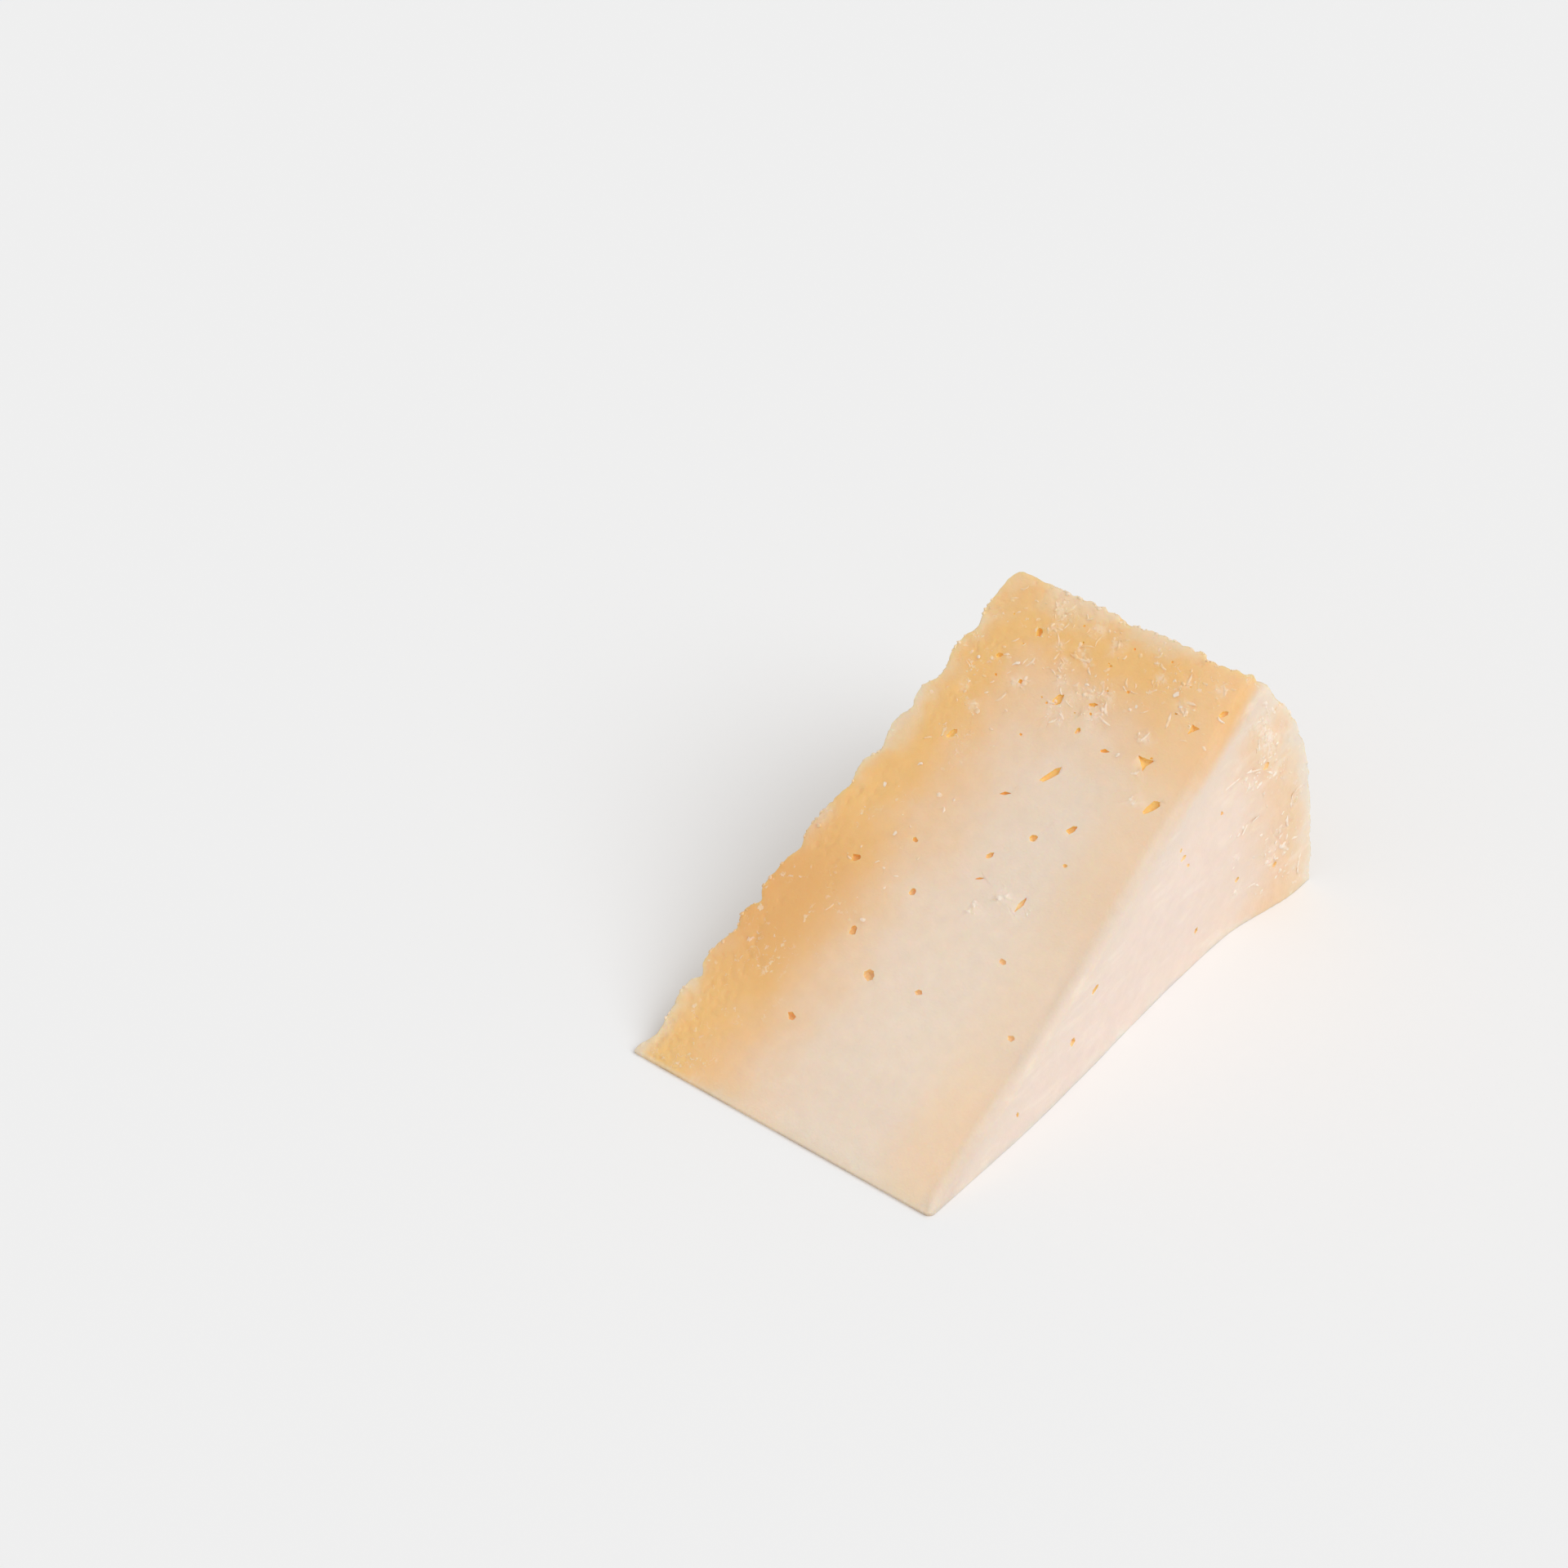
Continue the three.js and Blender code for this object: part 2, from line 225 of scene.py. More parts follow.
def hollowAt(y, z):
    low = fadeOut(z, 0, cuts["hollowHeight"])
    return cuts["hollowDepth"] * bump(y, cuts["hollowRise"], cuts["hollowFall"]) * low


def topNormal(degrees):
    angle = np.radians(degrees)
    return np.stack([np.zeros_like(angle), -np.sin(angle), np.cos(angle)], axis=-1)


# Moves the steps of a grid closer together at both of its ends
def evenShare(share, finer):
    return share - finer * np.sin(2 * np.pi * share) / (2 * np.pi)


# A grid for one of the block's six sides: one of its three directions is held at its start or end
def addSide(held, end):
    deselectAll()
    free = [i for i in range(3) if i != held]
    columns, rows = (blank["steps"][i] for i in free)
    bpy.ops.mesh.primitive_grid_add(x_subdivisions=columns, y_subdivisions=rows, size=1)
    piece = bpy.context.object
    inGrid = readVectors(piece.data.vertices, "co").astype(float) + 0.5
    shares = np.full((3, len(inGrid)), float(end))
    shares[free] = inGrid[:, :2].T
    across, outwards = (evenShare(shares[i], blank["finer"][i]) for i in range(2))
    radius = mix((cuts["tip"], wheel["radius"]), outwards)
    angle = tipAngle * shares[2]
    places = [-thicknessAt(radius) * across, radius * np.cos(angle), radius * np.sin(angle)]
    writePoints(piece, np.stack(places, axis=1))
    return piece


# Joins the six sides into a block, with its faces in the same order in each run
def addBlank():
    sides = [addSide(held, end) for held in range(3) for end in (0, 1)]
    piece = sides[0]
    piece.name = "aged_cheese"
    pick(piece)
    for side in sides[1:]:
        side.select_set(True)
    bpy.ops.object.join()
    bpy.ops.object.mode_set(mode="EDIT")
    bpy.ops.mesh.select_all(action="SELECT")
    bpy.ops.mesh.remove_doubles(threshold=1e-6)
    bpy.ops.mesh.normals_make_consistent(inside=False)
    bpy.ops.object.mode_set(mode="OBJECT")
    return piece


edges = {
    "ridge": 2.5,  # the long edge between the top cut and the halving cut is rubbed round
    "ridgeGrows": (0.9, 78.0, 102.0),  # by this much more, between these distances from the axis
    "ridgeWavers": (0.12, 9.0, 11),  # by this share of it, in such patches
    "ridgeLimit": 0.5,  # of the distance from the axis
    "tip": 1.2,
    "crisp": 0.2,
    "chips": 0.85,  # crumbs are missing from the edges of the rind
    "chipBumps": (1.0, 1.8, 0.6, 3, 5),
    "chipPatches": (8.0, 8),
    "chipSpread": (-0.45, 0.25),  # of the patches' noise, from no chips to all
    "whole": (2.0, 9.0),  # none are missing near the corner of the flat, the rim and the top cut
}


# Rounds the edge between two faces, where the depths below both are known for each point
def roundEdge(points, depths, inward, first, second, radius):
    firstShort = np.clip(radius - depths[first], 0, None)
    secondShort = np.clip(radius - depths[second], 0, None)
    near = (firstShort > 0) & (secondShort > 0)
    reach = np.where(near, np.hypot(firstShort, secondShort), 1)
    moved = np.where(near, 1 - np.minimum(radius / reach, 1), 0)
    for face, short in ((first, firstShort), (second, secondShort)):
        points += inward[face] * (short * moved)[:, None]
        depths[face] = depths[face] + short * moved


def shapeWedge(piece):
    points = readPoints(piece)
    depth = -points[:, 0]
    radius = np.hypot(points[:, 1], points[:, 2])
    evenTurn = np.degrees(np.arctan2(points[:, 2], points[:, 1])) / cuts["angle"]
    turnShare = evenShare(evenTurn, blank["finer"][2])
    topTurn = topAngleAt(depth)
    turn = topTurn * turnShare
    angle = np.radians(turn)
    below = np.radians(topTurn - turn)
    thickness = thicknessAt(radius)
    depths = {
        "halvingCut": depth,
        "flat": thickness - depth,
        "rim": wheel["radius"] - radius,
        "tip": radius - cuts["tip"],
        "top": radius * np.sin(below),
        "under": radius * np.sin(angle),
    }

    # The rind's relief fades inwards, so that the mesh of the cuts follows it
    nearRim, nearFlat = (fadeOut(depths[face], 0, rind["inside"]) for face in ("rim", "flat"))
    straight = np.stack([-depth, radius * np.cos(angle), radius * np.sin(angle)], axis=1)
    grain = rind["grain"] * waverTwice(straight, *rind["grainBumps"])
    outOfRound = wheel["flatSpotDrop"] * smoothStep(turn, *wheel["flatSpot"]) * radius / wheel["radius"]
    broken = bitesAt(-depth) * fadeOut(depths["top"], *torn["biteFade"])
    radius = radius - outOfRound + (grain + plaitAt(-depth, turn) - broken) * nearRim
    ridges = ridgeAt(radius * np.cos(angle), radius * np.sin(angle))
    along = (grain - ridges) * nearFlat * (1 - nearRim)
    points = np.stack([-depth + along, radius * np.cos(angle), radius * np.sin(angle)], axis=1)

    ones = np.ones_like(radius)
    radial = np.stack([0 * ones, np.cos(angle), np.sin(angle)], axis=1)
    inward = {
        "halvingCut": np.array([-1.0, 0, 0]),
        "flat": np.array([1.0, 0, 0]),
        "rim": -radial,
        "tip": radial,
        "top": -topNormal(topTurn),
        "under": np.array([0, 0, 1.0]),
    }
    chipped = waverTwice(points, *edges["chipBumps"])
    patches = smoothStep(waver(points, *edges["chipPatches"]), *edges["chipSpread"])
    fromCorner = np.hypot(depths["flat"], depths["rim"])
    chipped = np.clip(chipped, 0, 1) * patches * smoothStep(fromCorner, *edges["whole"])
    chips = edges["crisp"] + edges["chips"] * chipped
    wider, wideFrom, wideTo = edges["ridgeGrows"]
    share, *bumps = edges["ridgeWavers"]
    ridge = edges["ridge"] * (1 + share * waver(points, *bumps))
    ridge = ridge + wider * smoothStep(radius, wideFrom, wideTo)
    ridge = np.minimum(ridge, edges["ridgeLimit"] * radius)
    roundEdge(points, depths, inward, "flat", "rim", wheel["shoulder"] * ones)
    roundEdge(points, depths, inward, "tip", "halvingCut", edges["tip"] * ones)
    roundEdge(points, depths, inward, "halvingCut", "top", ridge)
    for face in ("flat", "rim"):
        roundEdge(points, depths, inward, face, "top", chips)
        roundEdge(points, depths, inward, face, "under", edges["crisp"] * ones)
    roundEdge(points, depths, inward, "halvingCut", "rim", chips)
    for first, second in (("halvingCut", "under"), ("tip", "top"), ("tip", "flat")):
        roundEdge(points, depths, inward, first, second, edges["crisp"] * ones)

    # The knife's hollows
    nearTop = fadeOut(depths["top"], 0, cuts["sagInside"])
    nearCut = fadeOut(depths["halvingCut"], 0, cuts["hollowInside"])
    points -= topNormal(topTurn) * (sagAt(depth, radius) * nearTop)[:, None]
    points[:, 0] -= hollowAt(points[:, 1], points[:, 2]) * nearCut

    roughenCuts(points, depths, topTurn)
    writePoints(piece, points)


torn = {
    "bumps": (1.2, 2.1, 0.6, 31, 37),
    "more": 0.1,  # so that more than half of the surface is torn
    "depth": 0.22,
    "reach": (3.0, 17.0),  # how far from the rind the paste crumbles under the knife
    "patches": (7.0, 21),
    "spread": (-0.25, 0.35),  # of the patches' noise, from the least torn to all
    "least": 0.25,
    "swell": (0.05, 7.0, 43),  # its height, in such patches
    "inside": 0.8,  # the relief moves the points this deep below it
    "rimBites": ((-27.3, -19.5, 1.0), (-10.7, -3.4, 0.8)),  # from, to, and depth
    "biteStep": 0.2,
    "biteFade": (0.5, 4.5),  # down from the top cut
    "corner": ((84.6, 46.5), (89.4, 36.0), 3.0, 0.3),  # a crumbled streak on the halving cut
    "cornerBumps": (0.9, 61),
    "cornerLift": 0.2,
    "cornerSpan": (-0.3, 1.0),
    "scoreEnds": 0.35,  # of a crease's depth
    "scoreMiddle": 2.6,
    "scores": (  # and creases there: their two ends, width and depth
        ((84.0, 36.8), (76.2, 35.9), 0.5, 0.2),
        ((81.8, 25.9), (88.2, 24.4), 0.5, 0.17),
        ((96.8, 20.4), (98.3, 22.5), 0.4, 0.25),
        ((98.3, 22.5), (100.4, 23.1), 0.4, 0.25),
        ((70.0, 24.6), (76.3, 23.6), 0.6, 0.12),
        ((91.2, 19.5), (94.6, 14.2), 0.4, 0.15),
    ),
    "topScores": (  # on the top cut
        ((-19.6, 61.3), (-18.1, 65.2), 0.4, 0.16),
        ((-31.2, 93.0), (-28.2, 91.6), 0.4, 0.14),
        ((-29.9, 91.7), (-26.6, 90.0), 0.45, 0.14),
        ((-11.4, 96.0), (-10.8, 93.9), 0.4, 0.16),
    ),
}


# Where rind broke off the rim along the top cut: a sharp step in, and then back out little by little
def bitesAt(x):
    depth = np.zeros_like(x)
    step = torn["biteStep"]
    for start, end, deepest in torn["rimBites"]:
        rise = smoothStep(x, start - step, start + step)
        depth += deepest * rise * np.clip((end - x) / (end - start), 0, 1)
    return depth


# How deep a short crease runs at places in its plane
def scoreAt(first, second, score):
    start, end, width, depth = score
    run = np.array(end) - start
    share = np.clip(((first - start[0]) * run[0] + (second - start[1]) * run[1]) / (run @ run), 0, 1)
    away = np.hypot(first - start[0] - share * run[0], second - start[1] - share * run[1])
    profile = torn["scoreEnds"] + torn["scoreMiddle"] * share * (1 - share)
    return depth * fadeOut(away, 0, width) * profile


# Near the rind the paste is dry and tears a little, and elsewhere the knife leaves it smooth
def roughenCuts(points, depths, topTurn):
    fromRind = np.minimum(depths["rim"], depths["flat"])
    patches = smoothStep(waver(points, *torn["patches"]), *torn["spread"])
    dry = fadeOut(fromRind, *torn["reach"]) * mix((torn["least"], 1), patches)
    crumbly = np.clip(waverTwice(points, *torn["bumps"]) + torn["more"], 0, None)
    swell, *bumps = torn["swell"]
    relief = swell * waver(points, *bumps) - torn["depth"] * dry * crumbly
    outwards = np.hypot(points[:, 1], points[:, 2])
    topRelief = relief - sum(scoreAt(points[:, 0], outwards, score) for score in torn["topScores"])
    cutRelief = relief - sum(scoreAt(points[:, 1], points[:, 2], score) for score in torn["scores"])
    crumbled = scoreAt(points[:, 1], points[:, 2], torn["corner"])
    lumpy = np.clip(waver(points, *torn["cornerBumps"]) + torn["cornerLift"], *torn["cornerSpan"])
    cutRelief = cutRelief + crumbled * lumpy
    onTop = fadeOut(depths["top"], 0, torn["inside"]) * topRelief
    onCut = fadeOut(depths["halvingCut"], 0, torn["inside"]) * cutRelief
    points += topNormal(topTurn) * onTop[:, None]
    points[:, 0] += onCut


def thinFlatPlaces(piece):
    pick(piece)
    thin = piece.modifiers.new("thin flat places", "DECIMATE")
    thin.ratio = blank["keptShare"]
    bpy.ops.object.modifier_apply(modifier=thin.name)


# The eyes, small angular openings in the paste. On the top cut each has its place (along the axis and
# outwards from it), length, width, depth, turn and lean in degrees, and number of arms.
eyes = {
    "top": (
        (-38.6, 92.2, 1.7, 1.3, 0.8, 122, 0, 1),
        (-29.0, 83.4, 2.7, 1.6, 0.5, 80, 20, 1),
        (-22.9, 71.9, 4.8, 1.5, 0.5, 62, 25, 1),
        (-10.0, 80.2, 3.8, 3.2, 0.5, 150, 5, 3),
        (-5.9, 88.6, 3.0, 1.9, 0.45, 258, 5, 3),
        (-4.8, 74.3, 3.6, 1.6, 0.5, 62, 25, 1),
        (-15.6, 51.2, 3.8, 2.4, 0.4, 80, 20, 2),
        (-42.5, 85.9, 1.4, 1.0, 0.47, 20, 10, 1),
        (-36.6, 83.5, 1.0, 0.8, 0.39, 0, 10, 1),
        (-42.1, 70.9, 2.1, 1.3, 0.45, 62, 10, 1),
        (-23.3, 85.1, 1.7, 0.9, 0.39, 30, 20, 1),
        (-23.1, 80.2, 1.3, 0.9, 0.39, 80, 15, 1),
        (-17.2, 79.1, 1.7, 0.8, 0.47, 20, 15, 1),
        (-28.2, 65.9, 2.3, 1.5, 0.55, 40, 20, 2),
        (-2.8, 92.8, 1.7, 1.0, 0.47, 50, 20, 1),
        (-14.7, 65.3, 2.2, 1.2, 0.62, 62, 15, 1),
        (-19.7, 61.4, 1.6, 1.3, 0.62, 45, 0, 1),
        (-24.6, 55.8, 1.7, 1.0, 0.55, 62, 15, 1),
        (-24.0, 51.8, 1.9, 1.0, 0.47, 26, 15, 2),
        (-12.4, 59.8, 0.9, 0.7, 0.31, 0, 10, 1),
        (-13.1, 41.8, 1.5, 1.1, 0.47, 0, 15, 1),
        (-5.0, 31.7, 1.5, 1.2, 0.47, 20, 10, 1),
    ),
    "halvingCut": (
        (87.8, 34.9, 2.0, 1.7, 0.35, 60, 5, 1),
        (83.8, 12.9, 1.5, 1.2, 0.47, 20, 10, 1),
        (75.6, 32.8, 1.2, 0.8, 0.39, 40, 10, 1),
        (65.4, 30.2, 1.6, 1.0, 0.47, 100, 10, 1),
        (64.5, 32.3, 0.9, 0.7, 0.31, 0, 10, 1),
        (66.9, 27.7, 1.0, 0.7, 0.31, 60, 10, 1),
    ),
    "pinholes": 22,  # the smallest holes, in the dry paste near the rind on top
    "pinholeSize": (0.35, 0.75),
    "pinholeSlim": (0.6, 0.9),
    "pinholeDeep": 0.4,
    "pinholeBehind": (4, 45),  # the halving cut
    "pinholeOut": (97, 75),  # from the axis, most of them near the first
    "seed": 41,
    "tries": 4000,
    "clearOf": 7.5,  # the scattered ones keep this far from each other
    "edge": 4.5,  # and from the edges
    "span": (13.5, 95.0),  # from the axis, on the radial cuts
    "cutSpan": (22.5, 95.0),  # and on the halving cut
    "length": (1.2, 2.2),
    "slim": (0.55, 0.95),
    "deep": (0.4, 0.6),
    "lean": 15,
    "cutDepth": 0.6,  # they are shallower on the halving cut
    # how strong the eyes' painted glow is on the halving cut, and near the tip
    "cutShade": 0.65,  # and paler
    "tipDepth": 0.7,  # and so they are near the tip
    "tipShade": 0.6,
    "fromTip": (40, 78),  # this wears off between these distances from the axis
    "strip": (79.0, -36.0, -32.0, 0.28),  # those on the top cut keep to a strip that widens inwards
    "onTop": 7,
    "onHalvingCut": 5,
    "underneath": 22,
    "underhang": 0.15,
    "cornerCount": (5, 8),
    "cornerShift": 0.25,  # of the way to the next one
    "corners": (0.78, 1.12),  # the outline's corners lie between these shares of its size
    "waist": 0.42,  # and those between two arms at this one
    "steep": 0.35,  # at 0 an eye is round inside
    "rough": 0.12,
    "bumps": (0.8, 2.0, 0.5, 51, 53),
    "finerFrom": (0.8, 1.6),  # the lengths from which an eye gets a finer mesh
}


# The same even dice as in the solid's source, so that the scattered eyes lie in the same places
def makeDice(seed):
    state = seed

    def roll():
        nonlocal state
        state = (state + 0x6D2B79F5) & 0xFFFFFFFF
        mixed = ((state ^ state >> 15) * (state | 1)) & 0xFFFFFFFF
        mixed ^= (mixed + (mixed ^ mixed >> 7) * (mixed | 61)) & 0xFFFFFFFF
        return (mixed ^ mixed >> 14) / 4294967296

    return roll


def scatterEyes(roll, count, taken, pickSpot):
    found = []
    for _ in range(eyes["tries"]):
        if len(found) == count:
            break
        spot = pickSpot(roll(), roll())
        if spot is None or any(np.linalg.norm(spot - other) < eyes["clearOf"] for other in taken):
            continue
        taken.append(spot)
        spans = (eyes["length"], eyes["slim"], eyes["deep"])
        length, slim, deep = (mix(span, roll()) for span in spans)
        found.append((spot, length, length * slim, length * deep, 180 * roll(), eyes["lean"], 1))
    return found


def topPoint(x, radius):
    turn = topAngleAt(-x)
    angle = math.radians(turn)
    place = np.array([x, radius * math.cos(angle), radius * math.sin(angle)])
    return place - topNormal(turn) * sagAt(-x, radius)


def cutPoint(y, z):
    return np.array([-hollowAt(y, z), y, z])


def insideSpan(radius, share):
    edge = eyes["edge"]
    return -edge - (thicknessAt(radius) - 2 * edge) * share


# Every eye's place and shape, with the sideways and outward directions of its surface
def listEyes():
    roll = makeDice(eyes["seed"])
    edge = eyes["edge"]
    along, up = np.array([1.0, 0, 0]), np.array([0, 0, 1.0])
    slope = math.radians(cuts["angle"])
    listed = []

    def topSpot(a, b):
        radius = mix(eyes["span"], a)
        x = insideSpan(radius, b)
        outerEnd, low, high, spread = eyes["strip"]
        widening = (outerEnd - radius) * spread
        inside = radius < outerEnd and low - widening < x < high + widening
        return topPoint(x, radius) if inside else None

    def cutSpot(a, b):
        radius = mix(eyes["cutSpan"], a)
        inside = radius * math.sin(slope * b) > edge and radius * math.sin(slope * (1 - b)) > edge
        return cutPoint(radius * math.cos(slope * b), radius * math.sin(slope * b)) if inside else None

    def lowerSpot(a, b):
        radius = mix(eyes["span"], a)
        return np.array([insideSpan(radius, b), radius, 0])

    placed = [(topPoint(x, radius), *shape) for x, radius, *shape in eyes["top"]]
    taken = [eye[0] for eye in placed]
    placed += scatterEyes(roll, eyes["onTop"], taken, topSpot)
    for spot, length, width, depth, *rest in placed:
        shallower = mix((eyes["tipDepth"], 1), smoothStep(np.hypot(spot[1], spot[2]), *eyes["fromTip"]))
        listed.append(((spot, length, width, depth * shallower, *rest), along, topNormal(cuts["angle"])))
    placed = [(cutPoint(y, z), *shape) for y, z, *shape in eyes["halvingCut"]]
    taken = [eye[0] for eye in placed]
    placed += scatterEyes(roll, eyes["onHalvingCut"], taken, cutSpot)
    for spot, length, width, depth, *rest in placed:
        listed.append(((spot, length, width, depth * eyes["cutDepth"], *rest), up, along))
    listed += [(eye, along, -up) for eye in scatterEyes(roll, eyes["underneath"], [], lowerSpot)]

    for _ in range(eyes["pinholes"]):
        size, x = mix(eyes["pinholeSize"], roll()), -mix(eyes["pinholeBehind"], roll())
        spot = topPoint(x, mix(eyes["pinholeOut"], roll() ** 2))
        width = size * mix(eyes["pinholeSlim"], roll())
        shape = (size, width, eyes["pinholeDeep"] * size, 180 * roll(), 0, 1)
        listed.append(((spot, *shape), along, topNormal(cuts["angle"])))
    return listed


def turned(points, axis, degrees):
    angle = math.radians(degrees)
    first, second = [(1, 2), (2, 0), (0, 1)][axis]
    out = points.copy()
    out[:, first] = points[:, first] * math.cos(angle) - points[:, second] * math.sin(angle)
    out[:, second] = points[:, first] * math.sin(angle) + points[:, second] * math.cos(angle)
    return out


# The reach of an angular outline in some directions, with corners all round it
def outlineReach(directions, arms, dice):
    count = 2 * arms if arms > 1 else int(dice.integers(*eyes["cornerCount"]))
    low, high = eyes["corners"]
    reach = dice.uniform(low, high, count)
    if arms > 1:
        reach[1::2] *= eyes["waist"]
    shift = dice.uniform(-eyes["cornerShift"], eyes["cornerShift"], count)
    angles = (np.arange(count) + shift) * 2 * np.pi / count
    corners = np.stack([reach * np.cos(angles), reach * np.sin(angles)], axis=1)
    turns = (directions - angles[0]) % (2 * np.pi)
    first = np.searchsorted(angles - angles[0], turns, side="right") - 1
    start, end = corners[first], corners[(first + 1) % count]
    side = end - start
    facing = np.cos(directions) * side[:, 1] - np.sin(directions) * side[:, 0]
    return (start[:, 0] * side[:, 1] - start[:, 1] * side[:, 0]) / facing


# One eye, as a closed lump to cut away
def addEye(eye, side, outward, dice):
    spot, length, width, depth, turn, lean, arms = eye
    deselectAll()
    finer = sum(length > limit for limit in eyes["finerFrom"])
    bpy.ops.mesh.primitive_ico_sphere_add(subdivisions=2 + finer, radius=1)
    lump = bpy.context.object
    unit = readVectors(lump.data.vertices, "co").astype(float)
    points = unit.copy()
    directions = np.arctan2(points[:, 1], points[:, 0])
    points[:, :2] *= outlineReach(directions, arms, dice)[:, None]
    points[:, :2] *= (np.hypot(*unit[:, :2].T) + 1e-9)[:, None] ** -eyes["steep"]
    swell = waverTwice(points * length + spot, *eyes["bumps"])
    points = points * (1 + eyes["rough"] * swell)[:, None]
    points = turned(points * np.array([length / 2, width / 2, depth]), 0, lean)
    points[:, 2] -= eyes["underhang"] * depth
    points = turned(points, 2, turn)
    forward = np.cross(outward, side)
    writePoints(lump, points @ np.stack([side, forward, outward]) + spot)
    return lump


# Cuts or joins a tool's solid, and marks the faces that come from it with a material of their own
def combine(piece, tool, operation, name):
    tool.data.materials.append(bpy.data.materials.new(name))
    pick(piece)
    change = piece.modifiers.new(name, "BOOLEAN")
    change.operation = operation
    change.solver = "MANIFOLD"
    change.material_mode = "TRANSFER"
    change.object = tool
    bpy.ops.object.modifier_apply(modifier=change.name)
    bpy.data.objects.remove(tool)


def openEyes(piece):
    dice = np.random.default_rng(eyes["seed"])
    lumps = [addEye(*eye, dice) for eye in listEyes()]
    pick(lumps[0])
    for lump in lumps:
        lump.select_set(True)
    bpy.ops.object.join()
    combine(piece, bpy.context.object, "DIFFERENCE", "inside of an eye")


def colour(hexValue, alpha=1.0):
    channels = [int(hexValue[i:i + 2], 16) / 255 for i in (1, 3, 5)]
    linear = [c / 12.92 if c <= 0.04045 else ((c + 0.055) / 1.055) ** 2.4 for c in channels]
    return (*linear, alpha)


# Adds a node with its settings and values. A link names a node's output, or the node for its first one
def addNode(tree, kind, settings={}, values={}, links={}, stops=()):
    node = tree.nodes.new(kind)
    for name, value in settings.items():
        setattr(node, name, value)
    for socket, value in values.items():
        node.inputs[socket].default_value = value
    for socket, source in links.items():
        if isinstance(source, bpy.types.Node):
            source = next(output for output in source.outputs if output.enabled)
        tree.links.new(source, node.inputs[socket])
    for i, (place, shade) in enumerate(stops):
        stop = node.color_ramp.elements[i] if i < 2 else node.color_ramp.elements.new(place)
        stop.position, stop.color = place, shade
    return node


# Cut paste of an aged sheep cheese: fatty and slightly translucent, so light runs softly through its
# edges. It is creamy in the middle of the wheel and golden towards the rind, where it has dried.
paste = {
    "radialCut": (  # its colour by the distance from the rind in mm
        (0.0, "#ead3b6"), (1.0, "#edcfa3"), (2.5, "#eec58c"), (4.5, "#f0c27f"), (8.0, "#f0c282"),
        (11.5, "#efc591"), (16.0, "#eecba4"), (26.0, "#edd7c0"), (34.0, "#eddac6"),
    ),
    "halvingCut": (  # and by the same on the halving cut
        (0.0, "#e6d9ca"), (1.2, "#e8d7c1"), (2.8, "#ebd1b3"), (5.0, "#eccca8"), (9.0, "#eccbaa"),
        (13.0, "#ecd1b8"), (18.0, "#edd7c5"), (34.0, "#edd9cb"),
    ),
    # Painted highlight: a pale band on the halving cut just below the rounded ridge, for the light that
    # comes through that edge
    "ridge": "#e6d5c4",
    "glow": "#f6ce9b",  # the light that comes in by the halving cut is warm when it leaves by the top
    # Painted shade: a deeper golden near the flat rind, partway out from the axis
    "paintedShadeGold": "#e8b473",  # towards the middle of the flat rind
    # Painted glow: the eyes' walls are a bright golden that stands in for light glowing through the paste
    "eye": "#ffd07c",
    "fleck": "#f9ebdb",
    "layers": (
        "rindDistance", "rindSkin", "crest", "opened", "crumb", "crumbled", "halvingFace", "ridgeBand",
        "glow", "oiled", "shade", "softness",
    ),
    "textures": {  # the size of their bumps in mm, how many finer ones run over them, and how strong
        "clouds": (11.0, 3, 0.55, "even"), "patches": (6.0, 2, 0.55, "even"),
        "mottling": (2.4, 4, 0.55, "even"), "arcs": (2.3, 2, 0.55, "even"),
        "relief": (1.6, 2, 0.55, "even"), "specks": (1.0, 3, 0.55, "even"),
        "grain": (0.45, 4, 0.55, "even"), "streaks": (1.25, 3, 0.6, "drawn"),
    },
    "drawn": (1.0, 0.12, 0.4),  # the knife drew its streaks out along the halving cut
    "arcMiddle": 0.54,  # the arcs run where their texture has this value
    "bands": {  # what follows a texture or a layer: from two values of it, to two values of its own
        "wobble": ("clouds", "LINEAR", 0.25, 0.75, -3.5, 3.5),  # mm, clouds push the colours about
        "mottle": ("mottling", "LINEAR", 0.3, 0.7, 0.975, 1.022),
        "dry": ("rindDistance", "SMOOTHSTEP", 5.0, 21.0, 1.0, 0.05),
        "patchy": ("patches", "SMOOTHSTEP", 0.5, 0.63, 0.0, 1.0),
        "specks": ("specks", "SMOOTHSTEP", 0.59, 0.66, 0.0, 1.0),
        "arcs": ("fromArc", "SMOOTHSTEP", 0.003, 0.016, 0.75, 0.0),
        "broken": ("mottling", "SMOOTHSTEP", 0.5, 0.6, 0.0, 1.0),
        "streaks": ("streaks", "SMOOTHSTEP", 0.5, 0.72, 0.0, 0.3),
        "grains": ("specks", "SMOOTHSTEP", 0.44, 0.56, 0.3, 0.75),
        "whiter": ("rindDistance", "LINEAR", 0.0, 30.0, 0.4, 1.0),  # crumbs are, far from the rind
        "rough": ("relief", "LINEAR", 0.3, 0.7, 0.42, 0.56),
    },
    "leastDistance": 0.5,  # clouds take away no more than this share of the distance from the rind
    "flecked": 0.45,  # how white the flecks and arcs are
    "relief": {"grain": 0.05, "relief": 0.05, "marks": 0.06, "grains": 0.1},  # mm
    "scattering": 3.2,  # mm, of the red light
    "scatteringByColour": (1.0, 0.52, 0.24),
    "softness": 0.55,  # the share of the light that goes in
    "thinSoftness": 0.5,  # this much of it is lost at the thin tip
    "rindSoftness": 0.5,  # and in the rind
    "crumbSoftness": 0.4,  # and how much less light goes into a crumb
    "ior": 1.46,
    "shine": 0.42,
}

